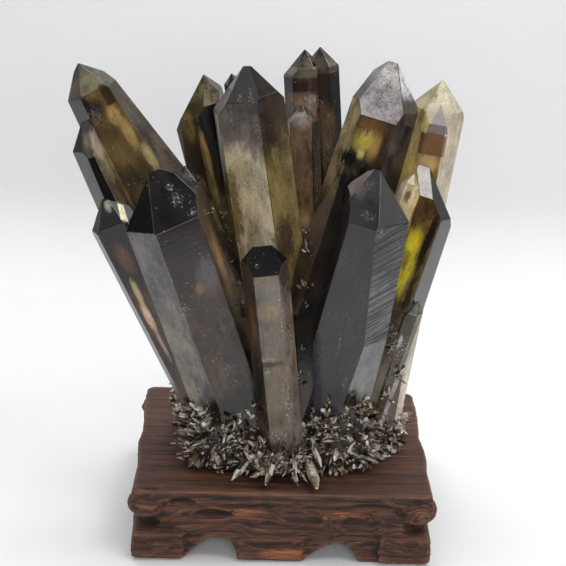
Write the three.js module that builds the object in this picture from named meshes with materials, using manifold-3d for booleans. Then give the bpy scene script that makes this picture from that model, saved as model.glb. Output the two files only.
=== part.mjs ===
// A cluster of smoky to black quartz crystals (morion) on its low carved wooden stand.
// Millimetres, +Z up, -Y is the side that the cluster is looked at from. The crystals are written in
// the stand's frame (its feet on z = 0, its middle on x = y = 0). The outer group then moves the whole
// object so that the origin is the middle of the underside of its box.
import * as THREE from "three";
import { mergeVertices } from "three/addons/utils/BufferGeometryUtils.js";
import Module from "manifold-3d";

const wasm = await Module();
wasm.setup();

// Driving dimensions of the stand
const STAND_WIDTH = 146;
const STAND_DEPTH = 117;
const STAND_HEIGHT = 38;
const PLATE_THICKNESS = 6.5;
const PLATE_EDGE_ROUND = 1.2;
const PLATE_CORNER = 3;
const EDGE_WAVE = 0.9;
const EDGE_WAVE_TURN = 17;
const EDGE_WAVE_START = 2.3;
const EDGE_STEPS = 9;
const CORNER_STEPS = 3;
const APRON_INSET = 1.6;
const APRON_EDGE_ROUND = 0.8;
const NECK_INSET = 12;
const JOIN_DEPTH = 1;
const FOOT_HEIGHT = 16;
const FOOT_WIDTH = 26;
const FOOT_DEPTH = 24;
const FOOT_ROUND = 2.4;
const SIDE_ARCH_HALF_WIDTH = 30;
const SIDE_ARCH_HEIGHT = 12;
const SIDE_ARCH_FULLNESS = 0.6;
const SIDE_ARCH_STEPS = 8;
const PENDANT_MIDDLE = -5;
const PENDANT_WIDTH = 32;
const PENDANT_DEPTH = 11;
const PENDANT_HEIGHT = 14;
const PENDANT_INSET = 0.5;
const ARCH_MARGIN = 10;

// The arches in the stand's front view, from the floor on the left to the floor on the right
const LEFT_ARCH = [
  [-48, 0], [-44, 4], [-38, 9.5], [-34.5, 12], [-27.5, 12.2], [-24.5, 10], [-22.3, 5], [-21.5, 0],
];
const RIGHT_ARCH = [
  [10.5, 0], [13.5, 3.5], [19.5, 8], [25.5, 10.6], [31.5, 9.8], [35, 5], [37.5, 0],
];

// The knobs that stand out under the plate's corners, and the hollows carved into the stand's sides
const CORNER_X = STAND_WIDTH / 2;
const CORNER_Y = STAND_DEPTH / 2;
const PLATE_BOTTOM = STAND_HEIGHT - PLATE_THICKNESS;
const KNOBS = [
  { middle: [-CORNER_X + 7.5, -CORNER_Y + 7.5, PLATE_BOTTOM - 3.3], radii: [10, 9, 6.4] },
  { middle: [CORNER_X - 7.5, -CORNER_Y + 7.5, PLATE_BOTTOM - 3.5], radii: [10, 9.2, 7.4] },
  { middle: [-CORNER_X + 7, CORNER_Y - 7, PLATE_BOTTOM - 3], radii: [9, 8.5, 6] },
  { middle: [CORNER_X - 7, CORNER_Y - 7, PLATE_BOTTOM - 2], radii: [9, 8.5, 6] },
];
const HOLLOWS = [
  { middle: [-48, -CORNER_Y + 0.8, PLATE_BOTTOM + 0.5], radii: [6.5, 3.2, 2.8] },
  { middle: [-34, -CORNER_Y + 1.5, PLATE_BOTTOM - 6.8], radii: [10, 3, 4] },
  { middle: [43, -CORNER_Y + 1, PLATE_BOTTOM + 0.5], radii: [12, 2.6, 1.8] },
  { middle: [2, -CORNER_Y + 1, PLATE_BOTTOM - 5], radii: [24, 2.4, 2.2] },
  { middle: [30, CORNER_Y - 1, PLATE_BOTTOM - 6], radii: [20, 2.6, 2.4] },
  { middle: [-30, CORNER_Y - 1, PLATE_BOTTOM - 4.5], radii: [18, 2.6, 2.4] },
  { middle: [-CORNER_X + 10, -CORNER_Y + 5, STAND_HEIGHT + 1], radii: [6, 3, 2.6] },
];

// Driving dimensions of the rock that the crystals grow from: a broad mound, a core between the large
// crystals, and two humps where the crust climbs the feet of the thick front ones. Each is half an
// egg whose middle lies on the plate.
const REST_GAP = 0.3;
const MOUND = { middle: [3, -1], radii: [48, 43, 27] };
const CORE = { middle: [-5, 1], radii: [31, 26, 50] };
const LEFT_HUMP = { middle: [-31, -21], radii: [25, 22, 42] };
const RIGHT_HUMP = { middle: [34, -17], radii: [24, 21, 40] };
const MOUND_LUMP = 1.6;
const MOUND_DETAIL = 3;
const LUMP_SIDES = 12;
const LUMP_BANDS = 7;

// Quartz habit: the angle between the long axis and the normal of a tip face
const TIP_FACE_ANGLE = THREE.MathUtils.degToRad(51.8);
const SHOULDER_DROP = Math.tan(TIP_FACE_ANGLE);

// The large crystals. tip and foot are the ends of the line that the point sits on. turn is the first
// prism face's direction in degrees, from the crystal's right toward the viewer. half holds half the
// thickness of the three pairs of prism faces. off moves the prism sideways and toward the viewer from
// the tip's line. late says how far each tip face starts past the point, which makes blunt and
// chisel-shaped tips. flare says how much further out a prism face lies at the foot than at the
// shoulder, as one number for all six or one for each. cuts are further flat faces, down below the point.
const LARGE_CRYSTALS = [
  { name: "far left", tip: [-101.8, 8, 228.2], foot: [-28.9, 5.5, 105], turn: 24, half: [12.5, 9.8, 9.8],
    off: [-1.4, 1.2], late: [0.4, 0.6, 1.2, 3.7, 0, 0], flare: [8.2, 10, 12.3, 12.6, 5, 18.7] },
  { name: "left, in front of the far left one", tip: [-99.2, -2, 203], foot: [-41.8, -2, 84], turn: 24,
    half: [6.9, 10.5, 6.3], off: [-3.3, 1.2], late: [3, 0, 0.8, 1, 0, 3],
    flare: [-0.6, 1.7, 8.4, 2.8, 1, 5.4] },
  { name: "low left", tip: [-89, -12, 171], foot: [-32, -9.5, 52], turn: 39, half: [12.5, 9.5, 10],
    off: [-2, 0.5], late: [0, 0, 0, 0, 0, 0], flare: 0 },
  { name: "front left, black cap", tip: [-60.3, -28, 189.1], foot: [-14.3, -15, 52], turn: 9.3,
    half: [17.4, 17.9, 19.1], off: [-5.2, 0.5], late: [2.6, -0.5, 8.2, 8.3, 2, 0],
    flare: [-0.7, 0.3, 0.3, -0.3, 0, 5] },
  { name: "tall middle", tip: [-25, 2, 231], foot: [5, 0, 50], turn: 48, half: [14, 12.5, 16],
    off: [0, -1], late: [4, 0, 0, 0, 0, 4], flare: 0 },
  { name: "sliver behind the tall middle", tip: [-30.5, 16, 224], foot: [3, 8, 60], turn: 33,
    half: [4, 4, 4], off: [0, 0], late: [0, 0, 0, 0, 0, 0], flare: 0.8 },
  { name: "behind the tall middle, left", tip: [-44, 24, 221], foot: [3, 9.5, 48], turn: 13,
    half: [12.5, 12, 10], off: [-6, 0.5], late: [0, 0, 0, 0, 0, 0], flare: 0 },
  { name: "back twin, left point", tip: [4.5, 32, 233], foot: [21, 18, 50], turn: 31,
    half: [8.5, 7, 8], off: [-1.5, 0], late: [0, 0, 0, 0, 0, 0], flare: 0.4 },
  { name: "back twin, right point", tip: [12, 34, 234], foot: [28.5, 20, 50], turn: 32,
    half: [6, 7.5, 6.5], off: [1.5, 0], late: [0, 0, 0, 0, 0, 0], flare: 0.4 },
  { name: "in front of the back twin", tip: [4, 20, 209], foot: [13, 8, 54], turn: 41,
    half: [6.5, 4.5, 7.5], off: [0.5, 0], late: [0, 0, 0, 0, 0, 0], flare: 0 },
  { name: "right, frosted point", tip: [46.5, 12, 234.9], foot: [-0.6, -2, 60], turn: 33.5,
    half: [12.1, 13.6, 16.3], off: [1.7, 7.2], late: [0.6, -0.7, 1.3, 0, -3.3, 0],
    flare: [4.2, 4.9, 1.4, 3.6, 0, 9.8] },
  { name: "far right, pale", tip: [71.5, 22, 222.7], foot: [45.4, 2, 52], turn: 31.6,
    half: [10.4, 15.7, 12.5], off: [0.9, 0.1], late: [0, 0, 0, 0, 0, 0],
    flare: [4.2, -3.2, 8.3, -1.9, 1, -4.7] },
  { name: "right, yellow window", tip: [65.4, 0, 184.7], foot: [25.6, -6.5, 54], turn: 33.1,
    half: [10.2, 10.7, 12.3], off: [6.9, -0.6], late: [0, 0, 14, 14, 0, 0],
    flare: [6, 6.7, -2.8, -1, -1, 5.3] },
  { name: "beside the yellow window", tip: [57.5, -6, 184], foot: [43, -8, 130], turn: 41,
    half: [4, 4, 4], off: [0, 0], late: [0, 0, 0, 0, 0, 0], flare: 0.4 },
  { name: "front right, striped face", tip: [39.4, -26, 190.9], foot: [22.9, -17, 53], turn: 54.4,
    half: [14.8, 17.5, 14.5], off: [1.7, 0.8], late: [0.5, 0.3, 3.1, 6, 0, 0],
    flare: [3.8, -6.8, 7.8, 3, 0, 0.2],
    cuts: [
      { turn: 175, reach: 17.25, down: 100, slant: -0.17 },
      { turn: 53.3, reach: 13.1, down: 105, slant: -0.15 },
    ] },
  { name: "front middle, black cap", tip: [-14, -36, 156], foot: [0, -31, 42], turn: 28,
    half: [9.5, 9, 9.5], off: [0.5, 0], late: [5, 0, 5, 5, 0, 5], flare: -0.5 },
  { name: "low right, pale", tip: [63, -14, 122], foot: [44, -15, 48], turn: 42,
    half: [5, 4.5, 4.5], off: [-1.5, 0], late: [0, 0, 0, 0, 0, 0], flare: 0 },
  { name: "between the left ones", tip: [-52, 8, 180], foot: [-22, 2, 90], turn: 30,
    half: [6.5, 6, 6.5], off: [0, 0], late: [0, 0, 0, 0, 0, 0], flare: 2.5 },
];

// The small crystals that stand out of the crust: where each point is, where it grows from, and how thick
const STANDOUT_CRYSTALS = [
  { tip: [-25, -58, 45], root: [-14, -33, 48], radius: 2.3 },
  { tip: [-8.5, -61, 43.5], root: [-4, -38, 50], radius: 2.4 },
  { tip: [16, -61, 42.5], root: [11, -36, 48], radius: 3 },
  { tip: [18, -50, 49], root: [13, -31, 54], radius: 2.1 },
  { tip: [5.5, -55, 46], root: [5, -38, 50], radius: 1.6 },
  { tip: [-30, -35, 58], root: [-17, -26, 54], radius: 2.1 },
  { tip: [-25, -20, 70], root: [-13, -22, 56], radius: 1.8 },
  { tip: [-13, -24, 72], root: [-12, -20, 54], radius: 1.8 },
  { tip: [-17, -24, 70], root: [-11, -21, 54], radius: 1.6 },
  { tip: [36.5, -40, 50], root: [28, -27, 52], radius: 1.6 },
  { tip: [58.5, -17, 88], root: [50, -15, 79], radius: 1.9 },
  { tip: [53, -24, 102], root: [46, -13, 96], radius: 2 },
  { tip: [46.5, -34, 63], root: [36, -20, 52], radius: 1.9 },
];

// The shape of a small crystal: its root's thickness and its point's length, both over its radius
const NEEDLE_SIDES = 6;
const NEEDLE_ROOT = 0.85;
const NEEDLE_POINT = 1.3;
const STANDOUT_FLATNESS = 0.85;
const STANDOUT_SPIN = 0.4;

// The crust of small crystals: rings round the rock, from the plate up to the large crystals' feet
const CRUST_RINGS = [
  { rock: MOUND, rise: 7, count: 36, length: 17, radius: 2.4, lift: 3 },
  { rock: MOUND, rise: 22, count: 32, length: 16, radius: 2.7, lift: 12 },
  { rock: MOUND, rise: 38, count: 20, length: 15, radius: 2.8, lift: 26 },
  { rock: LEFT_HUMP, rise: 9, count: 18, length: 13, radius: 2.4, lift: 6 },
  { rock: LEFT_HUMP, rise: 27, count: 14, length: 12, radius: 2.4, lift: 22 },
  { rock: LEFT_HUMP, rise: 47, count: 12, length: 12, radius: 2.4, lift: 44 },
  { rock: RIGHT_HUMP, rise: 9, count: 18, length: 13, radius: 2.4, lift: 6 },
  { rock: RIGHT_HUMP, rise: 27, count: 14, length: 12, radius: 2.4, lift: 22 },
  { rock: RIGHT_HUMP, rise: 47, count: 12, length: 12, radius: 2.4, lift: 44 },
];
const CRUST_ROOT_SHARE = 0.88;
const CRUST_HEADING_SPREAD = 0.7;
const CRUST_RISE_SPREAD = 8;
const CRUST_LIFT_SPREAD = 26;
const CRUST_LENGTHS = [0.7, 1.25];
const CRUST_THICKNESSES = [0.75, 1.25];
const CRUST_FLATNESSES = [0.65, 0.95];
const CRUST_TIP_OVER_PLATE = 3;

// A repeatable source of random numbers between 0 and 1
function makeRandom(seed) {
  let state = seed;
  return () => {
    state = (state + 0x6d2b79f5) | 0;
    let mixed = Math.imul(state ^ (state >>> 15), 1 | state);
    mixed = (mixed + Math.imul(mixed ^ (mixed >>> 7), 61 | mixed)) ^ mixed;
    return ((mixed ^ (mixed >>> 14)) >>> 0) / 4294967296;
  };
}

// A closed geometry as a solid
function solidFrom(geometry) {
  const bare = geometry.index ? geometry.toNonIndexed() : geometry.clone();
  bare.deleteAttribute("normal");
  bare.deleteAttribute("uv");
  const merged = mergeVertices(bare, 1e-4);
  return new wasm.Manifold(
    new wasm.Mesh({
      numProp: 3,
      vertProperties: new Float32Array(merged.attributes.position.array),
      triVerts: new Uint32Array(merged.index.array),
    }),
  );
}

// A solid as a flat-faced geometry
function geometryFrom(solid) {
  const mesh = solid.getMesh();
  const geometry = new THREE.BufferGeometry();
  geometry.setAttribute("position", new THREE.BufferAttribute(mesh.vertProperties, 3));
  geometry.setIndex(new THREE.BufferAttribute(mesh.triVerts, 1));
  const flat = geometry.toNonIndexed();
  flat.computeVertexNormals();
  return flat;
}

// Keeps what lies behind the plane through a point with the given outward normal
function cutBy(solid, normal, point) {
  const outward = normal.clone().normalize();
  return solid.trimByPlane([-outward.x, -outward.y, -outward.z], -outward.dot(point));
}

// A large crystal: a block cut by six prism faces, six tip faces and its hidden foot
function crystalSolid({ tip, foot, turn, half, off, late, flare, cuts = [] }) {
  const point = new THREE.Vector3(...tip);
  const end = new THREE.Vector3(...foot);
  const length = point.distanceTo(end);
  const axis = point.clone().sub(end).normalize();
  const side = new THREE.Vector3(0, 1, 0).cross(axis).normalize();
  const front = side.clone().cross(axis);
  const drop = SHOULDER_DROP * Math.max(...half);
  const summit = point.clone().addScaledVector(side, off[0]).addScaledVector(front, off[1]);
  const shoulder = summit.clone().addScaledVector(axis, -drop);
  const flares = [flare].flat();
  const across = (degrees) => {
    const angle = THREE.MathUtils.degToRad(degrees);
    return side.clone().multiplyScalar(Math.cos(angle)).addScaledVector(front, Math.sin(angle));
  };

  const block = new THREE.BoxGeometry(2 * length, 2 * length, 2 * length);
  block.translate(point.x, point.y, point.z);
  let crystal = cutBy(solidFrom(block), axis.clone().negate(), end);
  for (let face = 0; face < 6; face += 1) {
    const outward = across(turn + 60 * face);
    const slope = flares[face % flares.length] / (length - drop);
    const prismFace = outward.clone().addScaledVector(axis, slope);
    crystal = cutBy(crystal, prismFace, shoulder.clone().addScaledVector(outward, half[face % 3]));
    const tipFace = outward
      .clone()
      .multiplyScalar(Math.sin(TIP_FACE_ANGLE))
      .addScaledVector(axis, Math.cos(TIP_FACE_ANGLE));
    crystal = cutBy(crystal, tipFace, point.clone().addScaledVector(axis, late[face]));
  }
  for (const { turn: direction, reach, down, slant } of cuts) {
    const outward = across(direction);
    const place = summit.clone().addScaledVector(axis, -down).addScaledVector(outward, reach);
    crystal = cutBy(crystal, outward.addScaledVector(axis, slant), place);
  }
  return crystal;
}

// A small crystal: a six-sided needle with a pointed end, a little flattened
function needleSolid(tip, root, radius, flatness, spin) {
  const from = new THREE.Vector3(...root);
  const along = new THREE.Vector3(...tip).sub(from);
  const length = along.length();
  const profile = [
    new THREE.Vector2(0, 0),
    new THREE.Vector2(NEEDLE_ROOT * radius, 0),
    new THREE.Vector2(radius, length - NEEDLE_POINT * radius),
    new THREE.Vector2(0, length),
  ];
  const needle = new THREE.LatheGeometry(profile, NEEDLE_SIDES);
  needle.rotateX(Math.PI / 2);
  needle.rotateZ(spin);
  needle.scale(1, flatness, 1);
  const aim = new THREE.Quaternion().setFromUnitVectors(
    new THREE.Vector3(0, 0, 1),
    along.normalize(),
  );
  needle.applyQuaternion(aim);
  needle.translate(from.x, from.y, from.z);
  return solidFrom(needle);
}

// A rounded lump at a place with three radii
function lumpSolid(middle, radii) {
  const ball = new THREE.SphereGeometry(1, LUMP_SIDES, LUMP_BANDS);
  ball.scale(...radii);
  ball.translate(...middle);
  return solidFrom(ball);
}

// A point on a rock's surface: around is the compass angle and rise the angle above the plate
function rockPoint({ middle, radii }, around, rise, share) {
  return new THREE.Vector3(
    middle[0] + share * radii[0] * Math.cos(rise) * Math.cos(around),
    middle[1] + share * radii[1] * Math.cos(rise) * Math.sin(around),
    STAND_HEIGHT + share * radii[2] * Math.sin(rise),
  );
}

// The rock under the crystals: the lumpy mound, joined with the core and the humps
function rockSolid() {
  const random = makeRandom(11);
  const lump = mergeVertices(bareIcosphere(MOUND_DETAIL), 1e-4);
  const place = lump.attributes.position;
  for (let i = 0; i < place.count; i += 1) {
    const swell = 1 + (MOUND_LUMP * (random() - 0.5)) / MOUND.radii[2];
    place.setXYZ(
      i,
      MOUND.middle[0] + swell * MOUND.radii[0] * place.getX(i),
      MOUND.middle[1] + swell * MOUND.radii[1] * place.getY(i),
      STAND_HEIGHT + swell * MOUND.radii[2] * place.getZ(i),
    );
  }
  const rocks = [CORE, LEFT_HUMP, RIGHT_HUMP];
  return rocks.reduce(
    (whole, { middle, radii }) => whole.add(lumpSolid([...middle, STAND_HEIGHT], radii)),
    solidFrom(lump),
  );
}

// A ball of triangles with only its positions left
function bareIcosphere(detail) {
  const ball = new THREE.IcosahedronGeometry(1, detail);
  ball.deleteAttribute("normal");
  ball.deleteAttribute("uv");
  return ball;
}

// The rings of small crystals that grow out of the rock
function crustSolids() {
  const random = makeRandom(29);
  const spread = (width) => width * (random() - 0.5);
  const between = ([low, high]) => low + (high - low) * random();
  const needles = [];
  for (const ring of CRUST_RINGS) {
    for (let i = 0; i < ring.count; i += 1) {
      const around = ((i + spread(CRUST_HEADING_SPREAD)) / ring.count) * 2 * Math.PI;
      const rise = THREE.MathUtils.degToRad(ring.rise + spread(CRUST_RISE_SPREAD));
      const root = rockPoint(ring.rock, around, rise, CRUST_ROOT_SHARE);
      const lift = THREE.MathUtils.degToRad(ring.lift + spread(CRUST_LIFT_SPREAD));
      const heading = around + spread(CRUST_HEADING_SPREAD);
      const length = ring.length * between(CRUST_LENGTHS);
      const way = new THREE.Vector3(
        Math.cos(lift) * Math.cos(heading),
        Math.cos(lift) * Math.sin(heading),
        Math.sin(lift),
      );
      const tip = root.clone().addScaledVector(way, length);
      tip.z = Math.max(tip.z, STAND_HEIGHT + CRUST_TIP_OVER_PLATE);
      const radius = ring.radius * between(CRUST_THICKNESSES);
      const flatness = between(CRUST_FLATNESSES);
      needles.push(needleSolid(tip.toArray(), root.toArray(), radius, flatness, between([0, Math.PI])));
    }
  }
  return needles;
}

// Everything of quartz is one piece: the large crystals, the rock and the crust of small ones. It is
// flat where it rests on the stand, and the pockets that crystals seal between them are filled, because
// only the outermost surface is kept.
function quartzSolid() {
  const standouts = STANDOUT_CRYSTALS.map(({ tip, root, radius }, i) =>
    needleSolid(tip, root, radius, STANDOUT_FLATNESS, STANDOUT_SPIN * i),
  );
  const pieces = [rockSolid(), ...LARGE_CRYSTALS.map(crystalSolid), ...standouts, ...crustSolids()];
  const joined = pieces.reduce((whole, piece) => whole.add(piece));
  const rest = new THREE.Vector3(0, 0, STAND_HEIGHT + REST_GAP);
  const surfaces = cutBy(joined, new THREE.Vector3(0, 0, -1), rest).decompose();
  return surfaces.reduce((outer, next) => (next.volume() > outer.volume() ? next : outer));
}

// The stand's outline seen from above, moved in by inset and cut across its corners by corner
function standOutline(inset, corner) {
  const x = STAND_WIDTH / 2 - inset;
  const y = STAND_DEPTH / 2 - inset;
  const corners = [
    [-x + corner, -y], [x - corner, -y], [x, -y + corner], [x, y - corner],
    [x - corner, y], [-x + corner, y], [-x, y - corner], [-x, -y + corner],
  ];
  const points = [];
  corners.forEach((start, i) => {
    const end = corners[(i + 1) % corners.length];
    const long = i % 2 === 0;
    const steps = long ? EDGE_STEPS : CORNER_STEPS;
    for (let step = 0; step < steps; step += 1) {
      const share = step / steps;
      const ripple = Math.sin(EDGE_WAVE_TURN * share + EDGE_WAVE_START * i);
      const wave = long ? EDGE_WAVE * (1 + Math.sin(Math.PI * share) * ripple) : EDGE_WAVE;
      const inward = new THREE.Vector2(start[1] - end[1], end[0] - start[0]).normalize();
      points.push(
        new THREE.Vector2(
          start[0] + (end[0] - start[0]) * share + inward.x * wave,
          start[1] + (end[1] - start[1]) * share + inward.y * wave,
        ),
      );
    }
  });
  return new THREE.Shape(points);
}

// A flat slab of an outline between two heights, with rounded edges
function slabSolid(shape, bottom, top, round) {
  const slab = new THREE.ExtrudeGeometry(shape, {
    depth: top - bottom - 2 * round,
    bevelEnabled: round > 0,
    bevelThickness: round,
    bevelSize: round,
    bevelOffset: -round,
    bevelSegments: 1,
    curveSegments: 4,
  });
  slab.translate(0, 0, bottom + round);
  return solidFrom(slab);
}

// A foot: a block with rounded edges, centred on a place on the floor
function footSolid([x, y], width, depth, height) {
  const block = new THREE.Shape();
  block.moveTo(x - width / 2, y - depth / 2);
  block.lineTo(x + width / 2, y - depth / 2);
  block.lineTo(x + width / 2, y + depth / 2);
  block.lineTo(x - width / 2, y + depth / 2);
  block.closePath();
  return slabSolid(block, 0, height, FOOT_ROUND);
}

// The four corner feet, which flare out to the stand's corners
function cornerFeet() {
  const x = (STAND_WIDTH - FOOT_WIDTH) / 2;
  const y = (STAND_DEPTH - FOOT_DEPTH) / 2;
  const corners = [[-x, -y], [x, -y], [-x, y], [x, y]];
  return corners.map((corner) => footSolid(corner, FOOT_WIDTH, FOOT_DEPTH, FOOT_HEIGHT));
}

// The two feet that hang between the arches, in the middle of the long sides
function pendantFeet() {
  const y = (STAND_DEPTH - PENDANT_DEPTH) / 2 - PENDANT_INSET;
  const middles = [[PENDANT_MIDDLE, -y], [PENDANT_MIDDLE, y]];
  return middles.map((middle) => footSolid(middle, PENDANT_WIDTH, PENDANT_DEPTH, PENDANT_HEIGHT));
}

// The space under an arch, as a bar through the whole stand. The points run over the arch in the
// stand's front view, from the floor on the left to the floor on the right.
function archAlongDepth(points) {
  const arch = new THREE.Shape();
  arch.moveTo(points[0][0], -ARCH_MARGIN);
  points.forEach(([x, z]) => arch.lineTo(x, z));
  arch.lineTo(points[points.length - 1][0], -ARCH_MARGIN);
  arch.closePath();
  const depth = STAND_DEPTH + 2 * ARCH_MARGIN;
  const bar = new THREE.ExtrudeGeometry(arch, { depth, bevelEnabled: false });
  bar.rotateX(Math.PI / 2);
  bar.translate(0, depth / 2, 0);
  return solidFrom(bar);
}

// The wide arch through the two short sides
function archAlongWidth() {
  const points = [];
  for (let i = 0; i <= SIDE_ARCH_STEPS; i += 1) {
    const angle = Math.PI * (1 - i / SIDE_ARCH_STEPS);
    points.push([
      SIDE_ARCH_HALF_WIDTH * Math.cos(angle),
      SIDE_ARCH_HEIGHT * Math.pow(Math.sin(angle), SIDE_ARCH_FULLNESS),
    ]);
  }
  const stretch = (STAND_WIDTH + 2 * ARCH_MARGIN) / (STAND_DEPTH + 2 * ARCH_MARGIN);
  return archAlongDepth(points).scale([1, stretch, 1]).rotate([0, 0, 90]);
}

// The stand is carved from one piece: plate, apron, corner knobs and feet, with arches cut through
function standSolid() {
  const plateShape = standOutline(0, PLATE_CORNER);
  const apronShape = standOutline(APRON_INSET, NECK_INSET);
  const added = [
    slabSolid(apronShape, 0, PLATE_BOTTOM + JOIN_DEPTH, APRON_EDGE_ROUND),
    ...cornerFeet(),
    ...pendantFeet(),
    ...KNOBS.map(({ middle, radii }) => lumpSolid(middle, radii)),
  ];
  const cut = [
    archAlongDepth(LEFT_ARCH),
    archAlongDepth(RIGHT_ARCH),
    archAlongWidth(),
    ...HOLLOWS.map(({ middle, radii }) => lumpSolid(middle, radii)),
  ];
  const plate = slabSolid(plateShape, PLATE_BOTTOM, STAND_HEIGHT, PLATE_EDGE_ROUND);
  const body = added.reduce((whole, piece) => whole.add(piece), plate);
  const carved = cut.reduce((whole, piece) => whole.subtract(piece), body);
  return cutBy(carved, new THREE.Vector3(0, 0, -1), new THREE.Vector3(0, 0, 0));
}

const cluster = new THREE.Mesh(
  geometryFrom(quartzSolid()),
  new THREE.MeshStandardMaterial({ color: 0x4a4034, roughness: 0.15, metalness: 0 }),
);
cluster.name = "quartz_cluster";

const stand = new THREE.Mesh(
  geometryFrom(standSolid()),
  new THREE.MeshStandardMaterial({ color: 0x4f3a33, roughness: 0.55, metalness: 0 }),
);
stand.name = "wood_stand";

const specimen = new THREE.Group();
specimen.add(cluster, stand);

// The origin is the middle of the underside of the object's box
const box = new THREE.Box3().setFromObject(specimen);
specimen.position.set(-(box.min.x + box.max.x) / 2, -(box.min.y + box.max.y) / 2, -box.min.z);

const morionQuartzCluster = new THREE.Group();
morionQuartzCluster.add(specimen);

export default morionQuartzCluster;
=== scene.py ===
# A cluster of morion quartz crystals resting on its low carved wooden stand. Lengths are in metres, and
# places are written in millimetres from the floor under the middle of the stand, through at().
import math
import random

import bpy
import numpy as np
from mathutils import Matrix, Vector
from mathutils.noise import noise_vector, seed_set


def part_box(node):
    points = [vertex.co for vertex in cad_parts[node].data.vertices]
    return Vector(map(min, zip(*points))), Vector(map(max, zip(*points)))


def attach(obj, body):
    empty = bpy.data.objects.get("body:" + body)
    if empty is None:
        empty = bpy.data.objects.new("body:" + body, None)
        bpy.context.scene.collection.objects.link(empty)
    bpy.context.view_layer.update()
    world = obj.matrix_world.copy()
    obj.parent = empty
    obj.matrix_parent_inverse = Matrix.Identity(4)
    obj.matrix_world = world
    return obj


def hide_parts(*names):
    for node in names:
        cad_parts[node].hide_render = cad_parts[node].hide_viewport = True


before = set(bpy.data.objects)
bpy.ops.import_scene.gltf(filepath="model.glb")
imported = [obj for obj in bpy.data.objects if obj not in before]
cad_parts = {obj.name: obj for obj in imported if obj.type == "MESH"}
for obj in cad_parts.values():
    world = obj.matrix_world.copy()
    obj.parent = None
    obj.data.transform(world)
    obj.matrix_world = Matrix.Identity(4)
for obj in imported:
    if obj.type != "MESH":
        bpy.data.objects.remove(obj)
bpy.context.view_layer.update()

# Camera: a long lens that looks down on the stand's front. The stand's plate and feet in the photograph
# give its place, and the picture is turned a little.
MM = 0.001
stand_low, stand_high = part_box("wood_stand")
STAND_MIDDLE = Vector(((stand_low.x + stand_high.x) / 2, (stand_low.y + stand_high.y) / 2, 0))
CAMERA_AIM = (-2.5, 0, 123.5)
CAMERA_AZIMUTH = math.radians(-1.76)
CAMERA_ELEVATION = math.radians(21.9)
CAMERA_ROLL = math.radians(2.29)
CAMERA_DISTANCE = 767
CAMERA_LENS = 99.5


def at(x, y, z):
    """A place in the row frame, from millimetres counted from the floor under the stand's middle."""
    return STAND_MIDDLE + Vector((x, y, z)) * MM


toward_camera = Vector((
    math.sin(CAMERA_AZIMUTH) * math.cos(CAMERA_ELEVATION),
    -math.cos(CAMERA_AZIMUTH) * math.cos(CAMERA_ELEVATION),
    math.sin(CAMERA_ELEVATION),
))
camera_turn = toward_camera.to_track_quat("Z", "Y")
bpy.ops.object.select_all(action="DESELECT")
bpy.ops.object.camera_add(location=at(*CAMERA_AIM) + toward_camera * CAMERA_DISTANCE * MM)
camera = bpy.context.object
camera.rotation_euler = (camera_turn @ Matrix.Rotation(CAMERA_ROLL, 3, "Z").to_quaternion()).to_euler()
camera.data.lens = CAMERA_LENS
camera.data.sensor_width = 36
camera.data.clip_start = 0.01
bpy.context.scene.camera = camera
bpy.context.scene.view_settings.view_transform = "Standard"

# The golden pair at the far left: two leaning crystals, clear smoky quartz, honey-brown inside.
# Every large crystal of the cluster is grown the same way: a six-sided prism closed by six tip faces, cut
# from a block face by face, with each face's tone and cloudiness kept on the face. These tones are partly
# the quartz's own smoke and partly painted light: painted reflections, painted shade and painted golden
# light through the crystal, which make the faces of one crystal look different.
TIP_FACE_ANGLE = math.radians(51.8)
EDGE_ROUND = 0.2 * MM
SHARPEST_BEND = math.radians(8)
SAME_FACE = 0.9995
QUARTZ_IOR = 1.544
CLOUDS_PER_MM = 0.085
WISPS_PER_MM = 0.33
GRAINS_PER_MM = 1.25
RIGHT, FRONT, LEFT, BACK_LEFT, BACK, BACK_RIGHT = range(6)


def tone(red, green, blue):
    """A colour as it looks in daylight, from 0 to 255, in the linear numbers that a shader takes."""
    return tuple(
        c / 12.92 if c <= 0.04045 else ((c + 0.055) / 1.055) ** 2.4
        for c in (red / 255, green / 255, blue / 255)
    )


INK = (22, 22, 25)
UMBER = (84, 68, 47)
CREAM = (226, 212, 172)
FROST = (205, 204, 208)


class Link:
    """One output of a shader node, with arithmetic that adds Math nodes."""

    def __init__(self, look, socket):
        self.look = look
        self.socket = socket

    def math(self, operation, *others):
        return self.look.node("ShaderNodeMath", {"operation": operation}, [self, *others])

    def __add__(self, other):
        return self.math("ADD", other)

    def __sub__(self, other):
        return self.math("SUBTRACT", other)

    def __rsub__(self, other):
        return self.look.node("ShaderNodeMath", {"operation": "SUBTRACT"}, [other, self])

    def __mul__(self, other):
        return self.math("MULTIPLY", other)

    __radd__ = __add__
    __rmul__ = __mul__

    def kept(self):
        """The value held between 0 and 1."""
        return self.look.node("ShaderNodeClamp", inputs=[self])


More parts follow.
